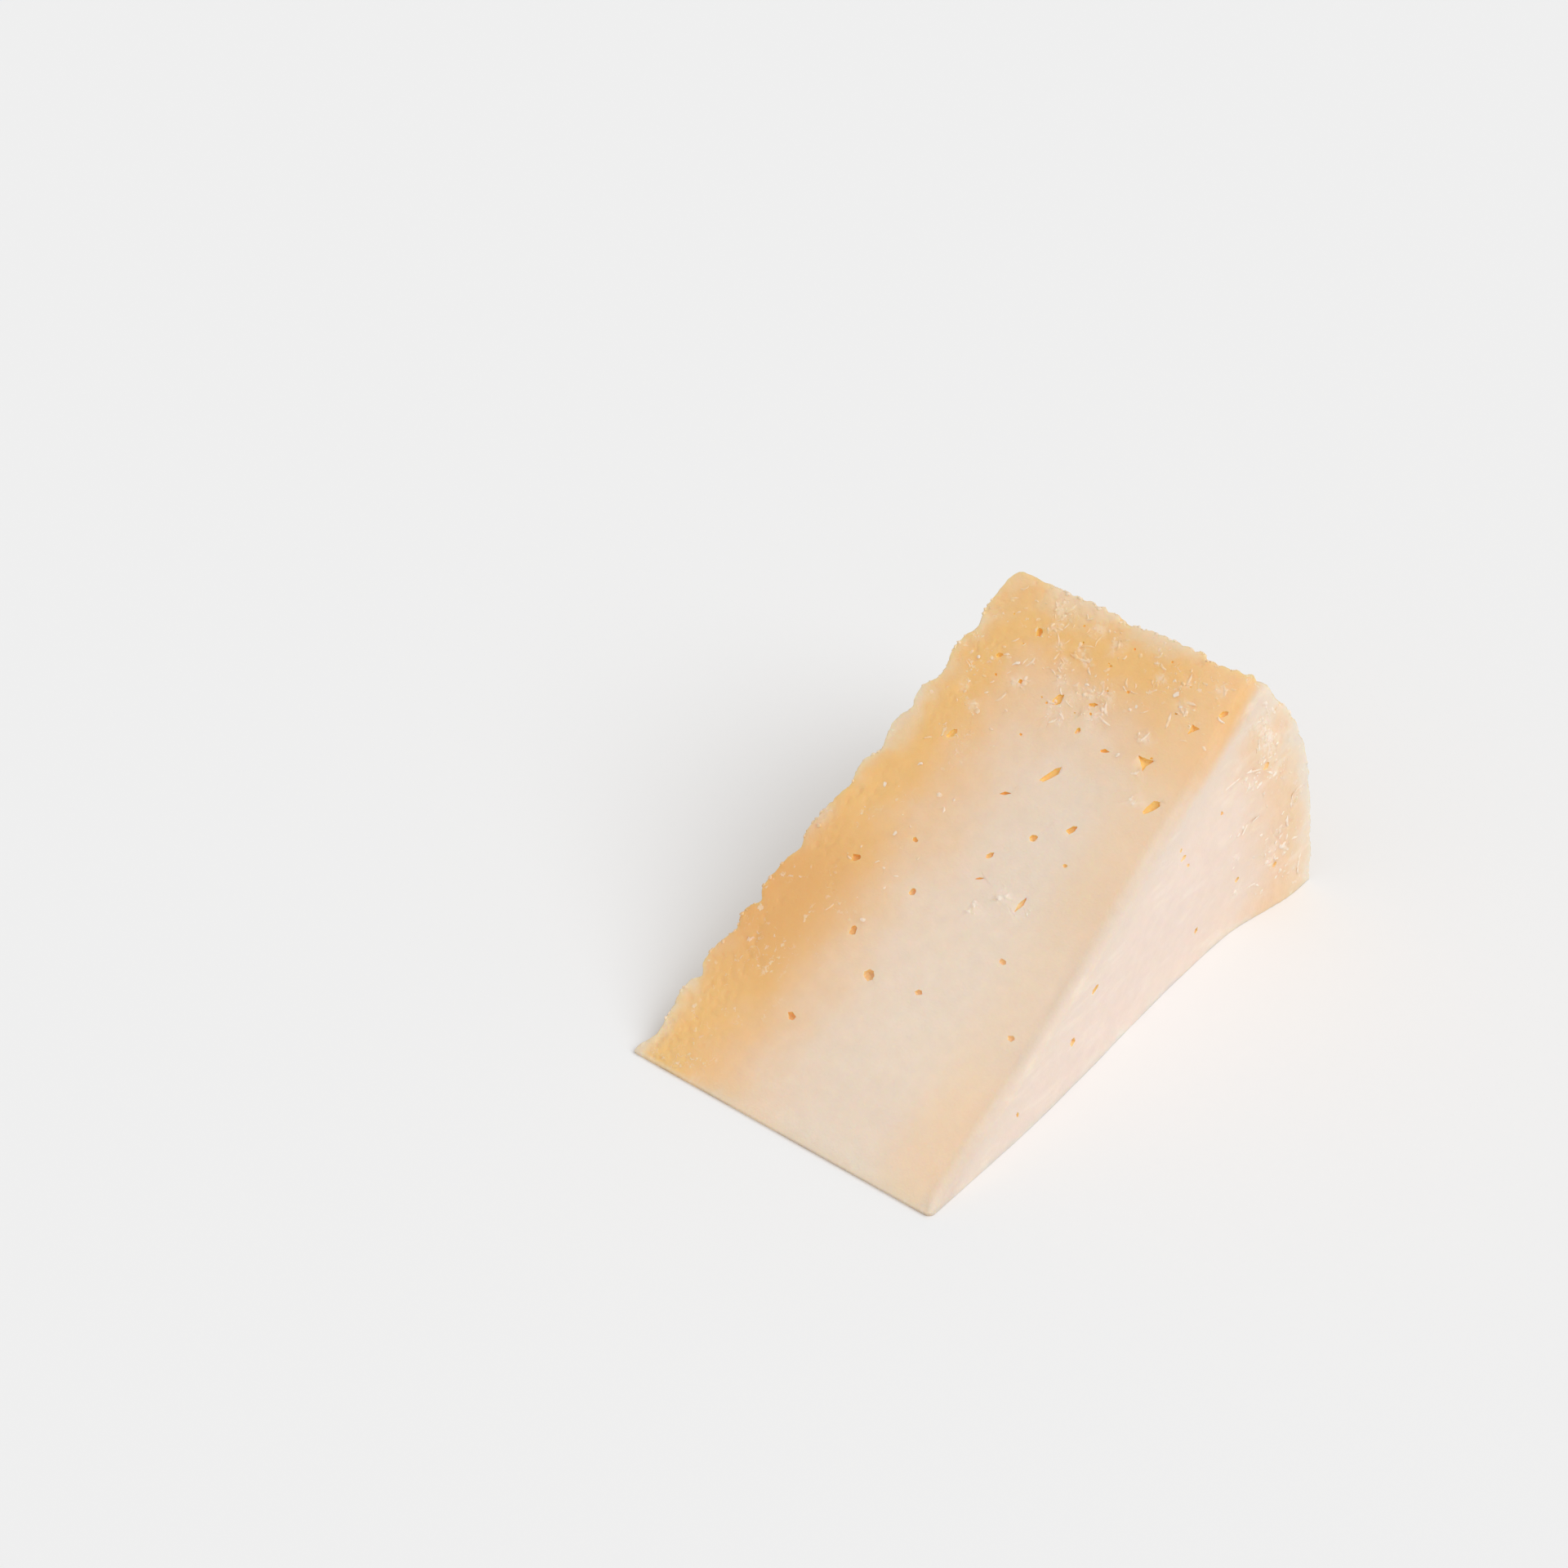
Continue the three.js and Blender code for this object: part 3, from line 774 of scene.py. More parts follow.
# The dry, oiled rind, printed by a plaited belt and a press board: matt, tan in its grooves and paler
# on its rubbed crests
crust = {
    "crest": "#eed1ab",
    "groove": "#e6be8a",
    "blotch": "#e6c496",
    "pore": "#dcb27c",
    "textures": {"fibre": (0.7, 3, 0.65, "fibrous")},  # its fibres, mm across
    "fibreLength": 4.0,  # times as long
    "bands": {
        "blotch": ("patches", "SMOOTHSTEP", 0.35, 0.65, 0.0, 0.4),
        "fibreShade": ("fibre", "LINEAR", 0.3, 0.7, 0.965, 1.025),
        "pores": ("specks", "SMOOTHSTEP", 0.56, 0.74, 0.0, 0.4),
    },
    "relief": {"fibres": 0.12, "pores": -0.15},  # mm
    "roughness": 0.2,  # more than the paste's
}


def makePaste():
    material = bpy.data.materials.new("aged sheep cheese, cut paste and pressed rind")
    material.use_nodes = True
    tree = material.node_tree
    tree.nodes.clear()
    add, multiply, greatest = ({"operation": name} for name in ("ADD", "MULTIPLY", "MAXIMUM"))
    multiplyAdd = {"operation": "MULTIPLY_ADD"}
    colourMix = {"data_type": "RGBA"}
    colourMultiply = {"data_type": "RGBA", "blend_type": "MULTIPLY"}
    layers = {}
    for name in paste["layers"]:
        layers[name] = addNode(tree, "ShaderNodeAttribute", {"attribute_name": name}).outputs["Fac"]

    # The rind's fibres run around the wheel, and along the grooves of the flat
    inFrame = addNode(tree, "ShaderNodeTexCoord").outputs["Object"]
    even = addNode(tree, "ShaderNodeVectorMath", {"operation": "SCALE"}, {"Scale": 1 / mm}, {0: inFrame})
    drawn = addNode(
        tree, "ShaderNodeMapping", {"vector_type": "POINT"}, {"Scale": paste["drawn"]}, {"Vector": even}
    )
    fibrous = addNode(
        tree, "ShaderNodeMapping", {"vector_type": "TEXTURE"},
        {"Rotation": (math.radians(rind["ridgeTurn"]), 0, 0), "Scale": (1.0, 1.0, crust["fibreLength"])},
        {"Vector": even},
    )
    spaces = {"even": even, "drawn": drawn, "fibrous": fibrous}
    textures = {}
    for name, (size, detail, roughness, space) in {**paste["textures"], **crust["textures"]}.items():
        values = {"Scale": 1 / size, "Detail": detail, "Roughness": roughness}
        textures[name] = addNode(tree, "ShaderNodeTexNoise", {}, values, {"Vector": spaces[space]})
    offset = {"operation": "SUBTRACT"}
    fromArc = addNode(tree, "ShaderNodeMath", offset, {1: paste["arcMiddle"]}, {0: textures["arcs"]})
    fromArc = addNode(tree, "ShaderNodeMath", {"operation": "ABSOLUTE"}, {}, {0: fromArc})
    sources = {**layers, **textures, "fromArc": fromArc}
    bands = {}
    for name, (source, way, low, high, start, end) in {**paste["bands"], **crust["bands"]}.items():
        values = {"From Min": low, "From Max": high, "To Min": start, "To Max": end}
        bands[name] = addNode(
            tree, "ShaderNodeMapRange", {"interpolation_type": way}, values, {"Value": sources[source]}
        )

    # The paste's colour runs by the distance from the rind
    distance = layers["rindDistance"]
    moved = addNode(tree, "ShaderNodeMath", add, {}, {0: distance, 1: bands["wobble"]})
    least = addNode(tree, "ShaderNodeMath", multiply, {1: paste["leastDistance"]}, {0: distance})
    fromRind = addNode(tree, "ShaderNodeMath", greatest, {}, {0: moved, 1: least})
    deepest = paste["radialCut"][-1][0]
    share = addNode(tree, "ShaderNodeMath", {"operation": "DIVIDE"}, {1: deepest}, {0: fromRind})
    ramps = []
    for face in ("radialCut", "halvingCut"):
        stops = [(place / deepest, colour(value)) for place, value in paste[face]]
        ramps.append(addNode(tree, "ShaderNodeValToRGB", {}, {}, {"Fac": share}, stops))
    faces = {0: layers["halvingFace"], 6: ramps[0], 7: ramps[1]}
    base = addNode(tree, "ShaderNodeMix", colourMix, {}, faces)
    # The mottling, and the painted shade of the shade layer, darken the colour
    shade = addNode(tree, "ShaderNodeMath", multiply, {}, {0: bands["mottle"], 1: layers["shade"]})
    base = addNode(tree, "ShaderNodeMix", colourMultiply, {0: 1.0}, {6: base, 7: shade})

    # Where it is dry there are small white flecks, and fine arcs where the knife broke it
    dryPatches = addNode(tree, "ShaderNodeMath", multiply, {}, {0: bands["dry"], 1: bands["patchy"]})
    arcs = addNode(tree, "ShaderNodeMath", multiply, {}, {0: bands["arcs"], 1: bands["broken"]})
    marks = addNode(tree, "ShaderNodeMath", greatest, {}, {0: bands["specks"], 1: arcs})
    marks = addNode(tree, "ShaderNodeMath", multiply, {}, {0: marks, 1: dryPatches})
    flecked = addNode(tree, "ShaderNodeMath", multiply, {1: paste["flecked"]}, {0: marks})

    # Soft pale streaks on the halving cut, white crumbs, and the streak that crumbled
    streaks = addNode(tree, "ShaderNodeMath", multiply, {}, {0: bands["streaks"], 1: layers["halvingFace"]})
    whiteCrumb = addNode(tree, "ShaderNodeMath", multiply, {}, {0: bands["whiter"], 1: layers["crumb"]})
    dusted = addNode(tree, "ShaderNodeMath", greatest, {}, {0: layers["crumbled"], 1: whiteCrumb})
    grains = addNode(tree, "ShaderNodeMath", multiply, {}, {0: bands["grains"], 1: dusted})
    tints = (
        (layers["oiled"], "paintedShadeGold"), (layers["glow"], "glow"), (layers["ridgeBand"], "ridge"),
        (flecked, "fleck"), (streaks, "fleck"), (grains, "fleck"), (layers["opened"], "eye"),
    )
    for strength, tint in tints:
        base = addNode(tree, "ShaderNodeMix", colourMix, {7: colour(paste[tint])}, {0: strength, 6: base})

    # The rind is golden in its grooves
    rindColours = {6: colour(crust["groove"]), 7: colour(crust["crest"])}
    rindBase = addNode(tree, "ShaderNodeMix", colourMix, rindColours, {0: layers["crest"]})
    blotched = {0: bands["blotch"], 6: rindBase}
    rindBase = addNode(tree, "ShaderNodeMix", colourMix, {7: colour(crust["blotch"])}, blotched)
    shaded = {6: rindBase, 7: bands["fibreShade"]}
    rindBase = addNode(tree, "ShaderNodeMix", colourMultiply, {0: 1.0}, shaded)
    pierced = {0: bands["pores"], 6: rindBase}
    rindBase = addNode(tree, "ShaderNodeMix", colourMix, {7: colour(crust["pore"])}, pierced)
    bareRind = addNode(
        tree, "ShaderNodeMath", {"operation": "SUBTRACT", "use_clamp": True}, {},
        {0: layers["rindSkin"], 1: layers["crumb"]},
    )
    base = addNode(tree, "ShaderNodeMix", colourMix, {}, {0: bareRind, 6: base, 7: rindBase})
    rougher = {0: layers["rindSkin"], 2: bands["rough"]}
    rough = addNode(tree, "ShaderNodeMath", multiplyAdd, {1: crust["roughness"]}, rougher)

    # Fine relief
    fibres = addNode(tree, "ShaderNodeMath", multiply, {}, {0: textures["fibre"], 1: bareRind})
    pores = addNode(tree, "ShaderNodeMath", multiply, {}, {0: bands["pores"], 1: bareRind})
    raised = {**textures, "marks": marks, "grains": grains, "fibres": fibres, "pores": pores}
    height = None
    for name, depth in {**paste["relief"], **crust["relief"]}.items():
        links = {0: raised[name], 2: height} if height else {0: raised[name]}
        height = addNode(tree, "ShaderNodeMath", multiplyAdd if height else multiply, {1: depth}, links)
    bumped = addNode(tree, "ShaderNodeBump", {}, {"Strength": 1.0, "Distance": mm}, {"Height": height})
    softness = addNode(
        tree, "ShaderNodeMath", {"operation": "MULTIPLY_ADD", "use_clamp": True},
        {1: -paste["crumbSoftness"]}, {0: layers["crumb"], 2: layers["softness"]},
    )
    shader = addNode(
        tree, "ShaderNodeBsdfPrincipled", {"subsurface_method": "RANDOM_WALK"},
        {
            "IOR": paste["ior"], "Specular IOR Level": paste["shine"],
            "Subsurface Radius": paste["scatteringByColour"], "Subsurface Scale": paste["scattering"] * mm,
        },
        {"Base Color": base, "Roughness": rough, "Subsurface Weight": softness, "Normal": bumped},
    )
    addNode(tree, "ShaderNodeOutputMaterial", {}, {}, {"Surface": shader})
    return material


# Where the material's layers lie, in mm. A pair says where a layer begins to change and where it has
regions = {
    "blend": 6.0,  # the distances from the rim and the flat run into each other over this
    "skin": 1.6,  # the rind is at most so deep
    "skinFacing": (0.35, 0.72),  # and it faces outwards
    "rimCrest": (-0.35, 0.3),  # from its grooves to its crests
    "flatCrest": (-0.8, 0.05),
    "paler": (3.0, 2.0, 9.0),  # the paste is paler near the corner of the rim and the flat
    "top": (0.3, 2.6),
    "halvingCut": (0.1, 1.8),
    "belowRidge": (0.6, 3.4),
    "lower": (2.0, 86.0, 98.0),  # the halving cut's colour begins this much lower near the rim
    # where the painted highlight along the ridge lies
    "ridge": ((0.3, 1.5), (0.6, 3.0), (3.4, 10.0)),  # behind the halving cut, and below the top one
    # where the painted shade on the rounded ridge lies
    "curved": ((1.6, 3.2), (2.0, 5.0)),
    # where the painted shade near the flat rind lies
    "oiled": ((5.0, 19.0), (12.0, 30.0), (38.0, 56.0)),  # from the flat, and from the axis
    "glow": ((0.3, 3.0), (6.0, 16.0)),  # behind the halving cut
    "tip": (1.3, 1.9),  # from the axis, as are the next four
    "thinTip": (1.5, 8.0),
    "ridgeFrom": (2.0, 12.0),
    "lowEnd": (15.0, 80.0),
    "glowFrom": (72.0, 90.0),
    "clusters": (0.2, 1.1),  # of a cluster's reach
    "eyesOnCut": 3.0,  # eyes and crumbs at most this deep are those of the halving cut
}

strengths = {
    # Painted light on the tip's thin face, paler and warmer, against the shade along its lower edge
    "tipPaintedLight": 0.7,
    "tipGlow": 0.3,
    # how strong the painted highlight along the ridge is
    "ridge": 0.7,
    "glow": 0.4,
    "rimGlow": 0.3,  # more
    "dust": 0.5,  # between the crumbs of a cluster
    # Painted shade: the next three darken the halving cut low down near the tip, and the rounded ridge
    # where it turns to the light
    "shade": 0.05,  # low on the halving cut, near the tip
    "paintedCurveShade": 0.12,
    "tipShade": 0.04,
}


# What the material needs to know about each point of the finished mesh
def addLayers(piece):
    mesh = piece.data
    points = readPoints(piece)
    normals = readVectors(mesh.vertices, "normal")
    radius = np.hypot(points[:, 1], points[:, 2])
    turn = np.degrees(np.arctan2(points[:, 2], points[:, 1]))
    outOfRound = wheel["flatSpotDrop"] * smoothStep(turn, *wheel["flatSpot"])
    fromRim = wheel["radius"] - outOfRound - radius
    dome = thicknessAt(radius + outOfRound * radius / wheel["radius"]) - rind["ridgeSink"]
    fromFlat = dome + points[:, 0]

    # No line shows where the nearer of these two distances changes
    blend = regions["blend"]
    nearer = np.clip(0.5 - 0.5 * (fromRim - fromFlat) / blend, 0, 1)
    fromRind = np.clip(fromRim * nearer + fromFlat * (1 - nearer) - blend * nearer * (1 - nearer), 0, None)
    paler, *corner = regions["paler"]

    radial = np.stack([np.zeros_like(radius), points[:, 1] / radius, points[:, 2] / radius], axis=1)
    faceRim = np.sum(normals * radial, axis=1) * (fromRim < regions["skin"])
    faceFlat = -normals[:, 0] * (fromFlat < regions["skin"])
    rindSkin = smoothStep(np.maximum(faceRim, faceFlat), *regions["skinFacing"])
    crestRim = smoothStep(-fromRim, *regions["rimCrest"])
    crestFlat = smoothStep(-fromFlat, *regions["flatCrest"])

    belowTop = radius * np.sin(np.radians(topAngleAt(-points[:, 0]) - turn))
    behindCut = -points[:, 0] - hollowAt(points[:, 1], points[:, 2])
    onTop = fadeOut(belowTop, *regions["top"])
    lower, *nearRim = regions["lower"]
    paleFrom = belowTop + lower * smoothStep(radius, *nearRim)
    halving = fadeOut(behindCut, *regions["halvingCut"]) * smoothStep(paleFrom, *regions["belowRidge"])
    # A pale band on the halving cut below the ridge: painted highlight
    behind, *below = regions["ridge"]
    ridge = fadeOut(behindCut, *behind) * bump(belowTop, *below)
    behind, below = regions["curved"]
    curved = fadeOut(behindCut, *behind) * fadeOut(belowTop, *below)
    # Painted shade near the flat rind
    nearFlat, *outwards = regions["oiled"]
    tipFace = fadeOut(radius, *regions["tip"])
    lowEnd = fadeOut(radius, *regions["lowEnd"])
    glow = strengths["glow"] + strengths["rimGlow"] * smoothStep(radius, *regions["glowFrom"])
    glow = glow * bump(-points[:, 0], *regions["glow"]) * onTop
    # Painted shade, low on the halving cut near the tip and on the rounded ridge
    paintedLowShade = 1 - strengths["shade"] * halving * lowEnd
    paintedCurveShade = 1 - (strengths["paintedCurveShade"] + strengths["tipShade"] * lowEnd) * curved

    crumbly = scoreAt(points[:, 1], points[:, 2], torn["corner"]) / torn["corner"][-1] * halving
    x, y, z = points.T
    sides = (crumbs["topClusters"], onTop, x, radius), (crumbs["cutClusters"], halving, y, z)
    full, none = regions["clusters"]
    for clusters, onSide, first, second in sides:
        for firstPlace, secondPlace, reach, _ in clusters:
            away = np.hypot(first - firstPlace, second - secondPlace)
            dust = strengths["dust"] * onSide * fadeOut(away, full * reach, none * reach)
            crumbly = np.maximum(crumbly, dust)
    layers = {
        "rindDistance": fromRind + paler * fadeOut(np.hypot(fromRim, fromFlat), *corner),
        "rindSkin": rindSkin,
        "crest": np.where(fromRim < fromFlat, crestRim, crestFlat),
        "crumbled": crumbly,
        # painted light on the tip's face
        "halvingFace": np.maximum(halving, strengths["tipPaintedLight"] * tipFace),
        "ridgeBand": strengths["ridge"] * ridge * smoothStep(radius, *regions["ridgeFrom"]),
        "glow": np.maximum(glow, strengths["tipGlow"] * tipFace),
        "oiled": fadeOut(fromFlat, *nearFlat) * bump(radius, *outwards),
        "shade": paintedLowShade * paintedCurveShade,
        "softness": (
            paste["softness"] * (1 - paste["thinSoftness"] * fadeOut(radius, *regions["thinTip"]))
            * (1 - paste["rindSoftness"] * rindSkin)
        ),
    }
    for name, values in layers.items():
        layer = mesh.attributes.new(name, "FLOAT", "POINT")
        layer.data.foreach_set("value", values.astype(np.float32))

    # The eyes' walls and the crumbs have sharp outlines, so their layers are kept by face corner
    source = np.empty(len(mesh.polygons), np.int32)
    mesh.polygons.foreach_get("material_index", source)
    corners = np.empty(len(mesh.polygons), np.int32)
    mesh.polygons.foreach_get("loop_total", corners)
    middles = (readVectors(mesh.polygons, "center") - np.array(wheelAxis)) / mm
    onCut = middles[:, 0] > -regions["eyesOnCut"]
    fromTip = smoothStep(np.hypot(middles[:, 1], middles[:, 2]), *eyes["fromTip"])
    # The eyes' walls get the painted glow, weaker on the halving cut and near the tip
    inEyes = np.where(onCut, eyes["cutShade"], mix((eyes["tipShade"], 1), fromTip))
    inCrumbs = np.where(onCut, crumbs["cutWhiteness"], 1)
    for name, start, strength in (("opened", "inside of an eye", inEyes), ("crumb", "crumb", inCrumbs)):
        slots = [i for i, made in enumerate(mesh.materials) if made.name.startswith(start)]
        layer = mesh.attributes.new(name, "FLOAT", "CORNER")
        values = np.isin(source, slots) * strength
        layer.data.foreach_set("value", np.repeat(values, corners).astype(np.float32))


def finishCheese(piece):
    addLayers(piece)
    piece.data.polygons.foreach_set("material_index", np.zeros(len(piece.data.polygons), np.int32))
    while len(piece.data.materials) > 1:
        piece.data.materials.pop()
    pick(piece)
    bpy.ops.object.shade_smooth_by_angle(angle=math.radians(50))


# Dry crumbs of paste that cling to the cuts. Places on the top cut are along the axis and outwards from
# it, and on the halving cut outwards and up. Most random shares are raised to a power above 1, so that
# the first value of a span is the usual one.
crumbs = {
    "seed": 7,
    "kinds": 5,
    "detail": 2,
    "layers": 4,
    "keptShare": 0.4,  # of a kind's faces
    "rough": 0.45,
    "sunk": 0.55,  # of a crumb's height
    "size": (0.25, 1.1),
    "sizePower": 3,
    "slim": (0.6, 0.9),
    "flat": (0.2, 0.4),  # their height, as a share of their size
    "clusterPower": 0.7,
    "topClusters": (  # place, reach and number
        (-36.6, 94.0, 1.6, 10), (-34.0, 91.6, 1.4, 9), (-32.0, 89.2, 1.4, 9), (-30.0, 86.2, 1.6, 8),
        (-30.0, 92.2, 1.5, 6), (-28.4, 91.0, 1.2, 5), (-24.9, 86.4, 1.8, 12), (-21.8, 87.2, 1.8, 8),
        (-22.3, 83.4, 2.2, 8), (-29.0, 81.8, 1.8, 9), (-37.3, 83.2, 1.6, 7), (-27.3, 84.8, 1.6, 6),
        (-12.4, 83.8, 1.6, 6), (-9.6, 91.0, 1.6, 5), (-11.0, 94.6, 1.0, 5), (-25.1, 95.4, 2.2, 7),
        (-29.6, 96.6, 2.0, 8), (-37.4, 97.2, 2.2, 10), (-22.3, 47.4, 1.4, 7), (-18.9, 51.3, 1.6, 8),
        (-15.3, 50.2, 1.8, 8), (-27.1, 80.4, 1.2, 5), (-41.8, 76.5, 1.6, 5), (-45.0, 79.0, 1.4, 4),
        (-15.5, 93.8, 1.6, 5), (-5.4, 96.0, 1.6, 5), (-8.0, 73.8, 1.2, 5),
    ),
    "cutClusters": (
        (85.8, 44.6, 2.0, 14), (88.0, 40.2, 2.2, 14), (89.4, 37.0, 1.6, 10), (86.4, 36.6, 1.0, 6),
        (84.6, 33.2, 1.8, 9), (90.6, 31.4, 1.6, 6), (97.4, 21.8, 1.2, 7), (99.2, 23.0, 0.9, 5),
        (93.4, 17.2, 1.2, 6), (92.6, 14.0, 1.4, 9), (93.0, 11.6, 1.6, 9), (96.2, 12.0, 1.4, 6),
        (82.0, 25.4, 1.2, 5), (84.4, 9.4, 1.6, 7), (81.0, 19.0, 2.0, 6),
    ),
    "scattered": (45, 12),  # over the dry parts of the top cut and of the halving cut
    "cutWhiteness": 2.2,  # times as white on the halving cut
    "alongEdges": (230, 240, 140),  # rim and flat at the top cut, and rim at the halving cut
    "edgeSpans": ((-42, -5), (8, 94), (1.5, 31.0)),  # along the axis, from the axis, and in degrees
    "edgeSize": (0.3, 0.95),
    "edgeFlat": (0.4, 0.7),
    "edgeSunk": 0.5,
    "lowered": 0.5,  # at most, below the edge
    "drifts": (31, 77, 0.7),  # two waves along each edge, and the second one's height
    "driftsFrom": -0.2,  # no crumbs lie where the waves are lower
    "behindCut": 0.2,  # where those at the halving cut start
}

# Where crumbs and smears are scattered
dryParts = {
    "cutTurn": (3, 28),  # degrees
    "cutOut": (101, 88),  # from the axis
    "cutPower": 1.4,
    "fromEdge": (1, 15),  # on the top cut
    "edgePower": 1.3,
    "byRim": 0.62,  # this share of those is by the rim, and the rest by the flat
    "rim": 99,
    "alongRim": (-46, -3),
    "flat": -48,
    "alongFlat": (35, 96),
}

# Thin flakes that the knife smeared over the cuts. Those seen have their place, length, width, and turn
# and bend in degrees. The turn is from the axis outwards on top, and from upright inwards on the cut.
smears = {
    "seed": 17,
    "kinds": 4,
    "detail": 3,
    "keptShare": 0.2,
    "rough": 0.4,
    "sunk": 0.5,
    "height": 0.16,
    "onTop": (
        (-36.8, 87.0, 2.2, 0.43, 73, 64), (-41.5, 86.6, 1.2, 0.35, 25, -67),
        (-37.4, 82.9, 1.6, 0.50, 49, 62), (-35.5, 84.0, 1.3, 0.43, 25, 110),
        (-38.0, 79.6, 2.3, 0.43, 64, 50), (-41.5, 76.9, 1.6, 0.57, 14, -51),
        (-30.0, 93.4, 3.1, 0.28, 25, -46), (-29.7, 91.0, 4.0, 0.43, 5, 37),
        (-28.8, 94.9, 2.3, 0.28, 91, -63), (-34.8, 92.4, 2.7, 0.28, 126, 36),
        (-33.3, 92.6, 1.5, 0.28, 66, 33), (-33.6, 89.8, 1.6, 0.35, 80, -14),
        (-32.3, 89.6, 1.4, 0.28, 149, 12), (-32.5, 87.3, 1.6, 0.28, 151, 66),
        (-31.9, 87.9, 1.4, 0.28, 144, -79), (-36.3, 93.6, 0.9, 0.57, 156, 32),
        (-38.5, 97.4, 1.8, 0.43, 118, -102), (-36.2, 96.0, 1.8, 0.43, 76, 95),
        (-36.0, 97.9, 2.3, 0.43, 67, -10), (-31.1, 95.9, 1.3, 0.23, 93, 67),
        (-25.1, 95.8, 2.0, 0.50, 110, 13), (-22.9, 94.3, 1.0, 0.35, 69, 86),
        (-24.5, 91.2, 1.3, 0.50, 48, 51), (-27.2, 89.8, 1.5, 0.43, 134, -48),
        (-27.7, 86.9, 1.3, 0.57, 58, 102), (-25.0, 87.0, 1.5, 0.57, 174, 19),
        (-24.7, 86.2, 1.4, 0.57, 25, 53), (-29.6, 84.9, 1.8, 0.28, 128, -58),
        (-21.0, 85.2, 2.4, 0.57, 126, -72), (-20.0, 83.4, 2.6, 0.43, 165, -28),
        (-30.0, 82.5, 1.7, 0.43, 177, -27), (-27.0, 83.4, 1.9, 0.28, 163, -49),
        (-27.8, 79.9, 1.7, 0.43, 52, 29), (-27.1, 81.3, 1.9, 0.50, 141, -27),
        (-23.0, 87.5, 1.2, 0.28, 82, 25), (-18.3, 89.7, 1.5, 0.28, 179, -62),
        (-20.0, 89.6, 1.2, 0.28, 153, -46), (-11.1, 95.1, 2.7, 0.43, 87, 18),
        (-8.9, 92.1, 2.5, 0.50, 8, -31), (-9.0, 90.2, 1.7, 0.43, 159, -39),
        (-10.4, 88.0, 2.6, 0.50, 103, -4), (-12.4, 83.9, 2.4, 0.43, 70, 26),
        (-10.4, 78.0, 1.6, 0.50, 44, 82), (-16.5, 92.6, 1.1, 0.28, 112, -110),
        (-5.4, 97.2, 1.4, 0.43, 45, 18), (-4.7, 96.3, 1.9, 0.43, 122, 35),
        (-16.3, 95.5, 1.7, 0.43, 155, -55), (-2.5, 86.4, 0.9, 0.43, 155, -32),
        (-2.8, 91.6, 1.8, 0.35, 159, -75), (-23.2, 79.9, 1.7, 0.28, 103, -110),
        (-41.4, 89.3, 1.5, 0.28, 51, 59), (-39.7, 89.2, 0.9, 0.28, 60, 62),
        (-42.8, 81.7, 0.8, 0.43, 179, 0), (-41.0, 81.4, 0.7, 0.28, 54, 0),
        (-40.8, 79.4, 0.7, 0.43, 40, 59),
    ),
    "onCut": (
        (98.1, 23.7, 4.0, 0.35, 90, 92), (96.4, 22.0, 2.9, 0.35, 177, 53),
        (95.7, 18.0, 2.9, 0.57, 12, -58), (94.6, 15.8, 1.2, 0.43, 143, 39),
        (96.4, 14.4, 1.5, 0.43, 155, -69), (98.5, 12.9, 1.6, 0.43, 80, 0),
        (95.7, 12.5, 3.6, 0.85, 45, -12), (95.5, 7.6, 1.0, 0.50, 95, 110),
        (94.2, 11.0, 1.2, 0.35, 73, 56), (94.7, 6.6, 0.7, 0.35, 135, 0), (91.0, 13.7, 1.4, 0.43, 7, 98),
        (90.5, 34.2, 0.8, 0.43, 96, 0), (89.3, 32.5, 3.6, 0.43, 48, 23),
        (91.2, 30.1, 0.7, 0.50, 118, -78), (87.6, 29.3, 0.6, 0.50, 96, 0),
        (83.0, 33.4, 2.0, 0.43, 154, -75), (86.2, 31.9, 1.8, 0.71, 109, 56),
        (82.9, 36.5, 5.7, 0.35, 77, 3), (78.3, 37.1, 4.0, 0.35, 91, 1), (86.8, 24.8, 3.8, 0.35, 78, 4),
        (83.3, 25.0, 3.7, 0.43, 105, 34), (100.4, 6.5, 4.6, 0.57, 168, 37),
        (88.6, 8.4, 2.1, 0.35, 84, 0), (85.9, 48.7, 1.9, 0.71, 59, 38),
        (78.6, 26.0, 1.6, 0.28, 118, -26), (91.6, 5.2, 0.9, 0.57, 147, -40),
        (84.4, 45.7, 1.7, 0.43, 90, -22), (86.5, 47.2, 2.5, 0.43, 18, -3),
        (88.5, 45.6, 2.6, 0.57, 35, -3), (84.9, 40.9, 2.9, 0.43, 6, -38),
        (89.3, 39.2, 2.2, 0.43, 152, 58),
    ),
    "scattered": (60, 26),  # more of them near the rind, on the top cut and on the halving cut
    "length": (0.5, 2.2),
    "width": (0.2, 0.4),
    "bend": 100,  # degrees, at most and either way
}

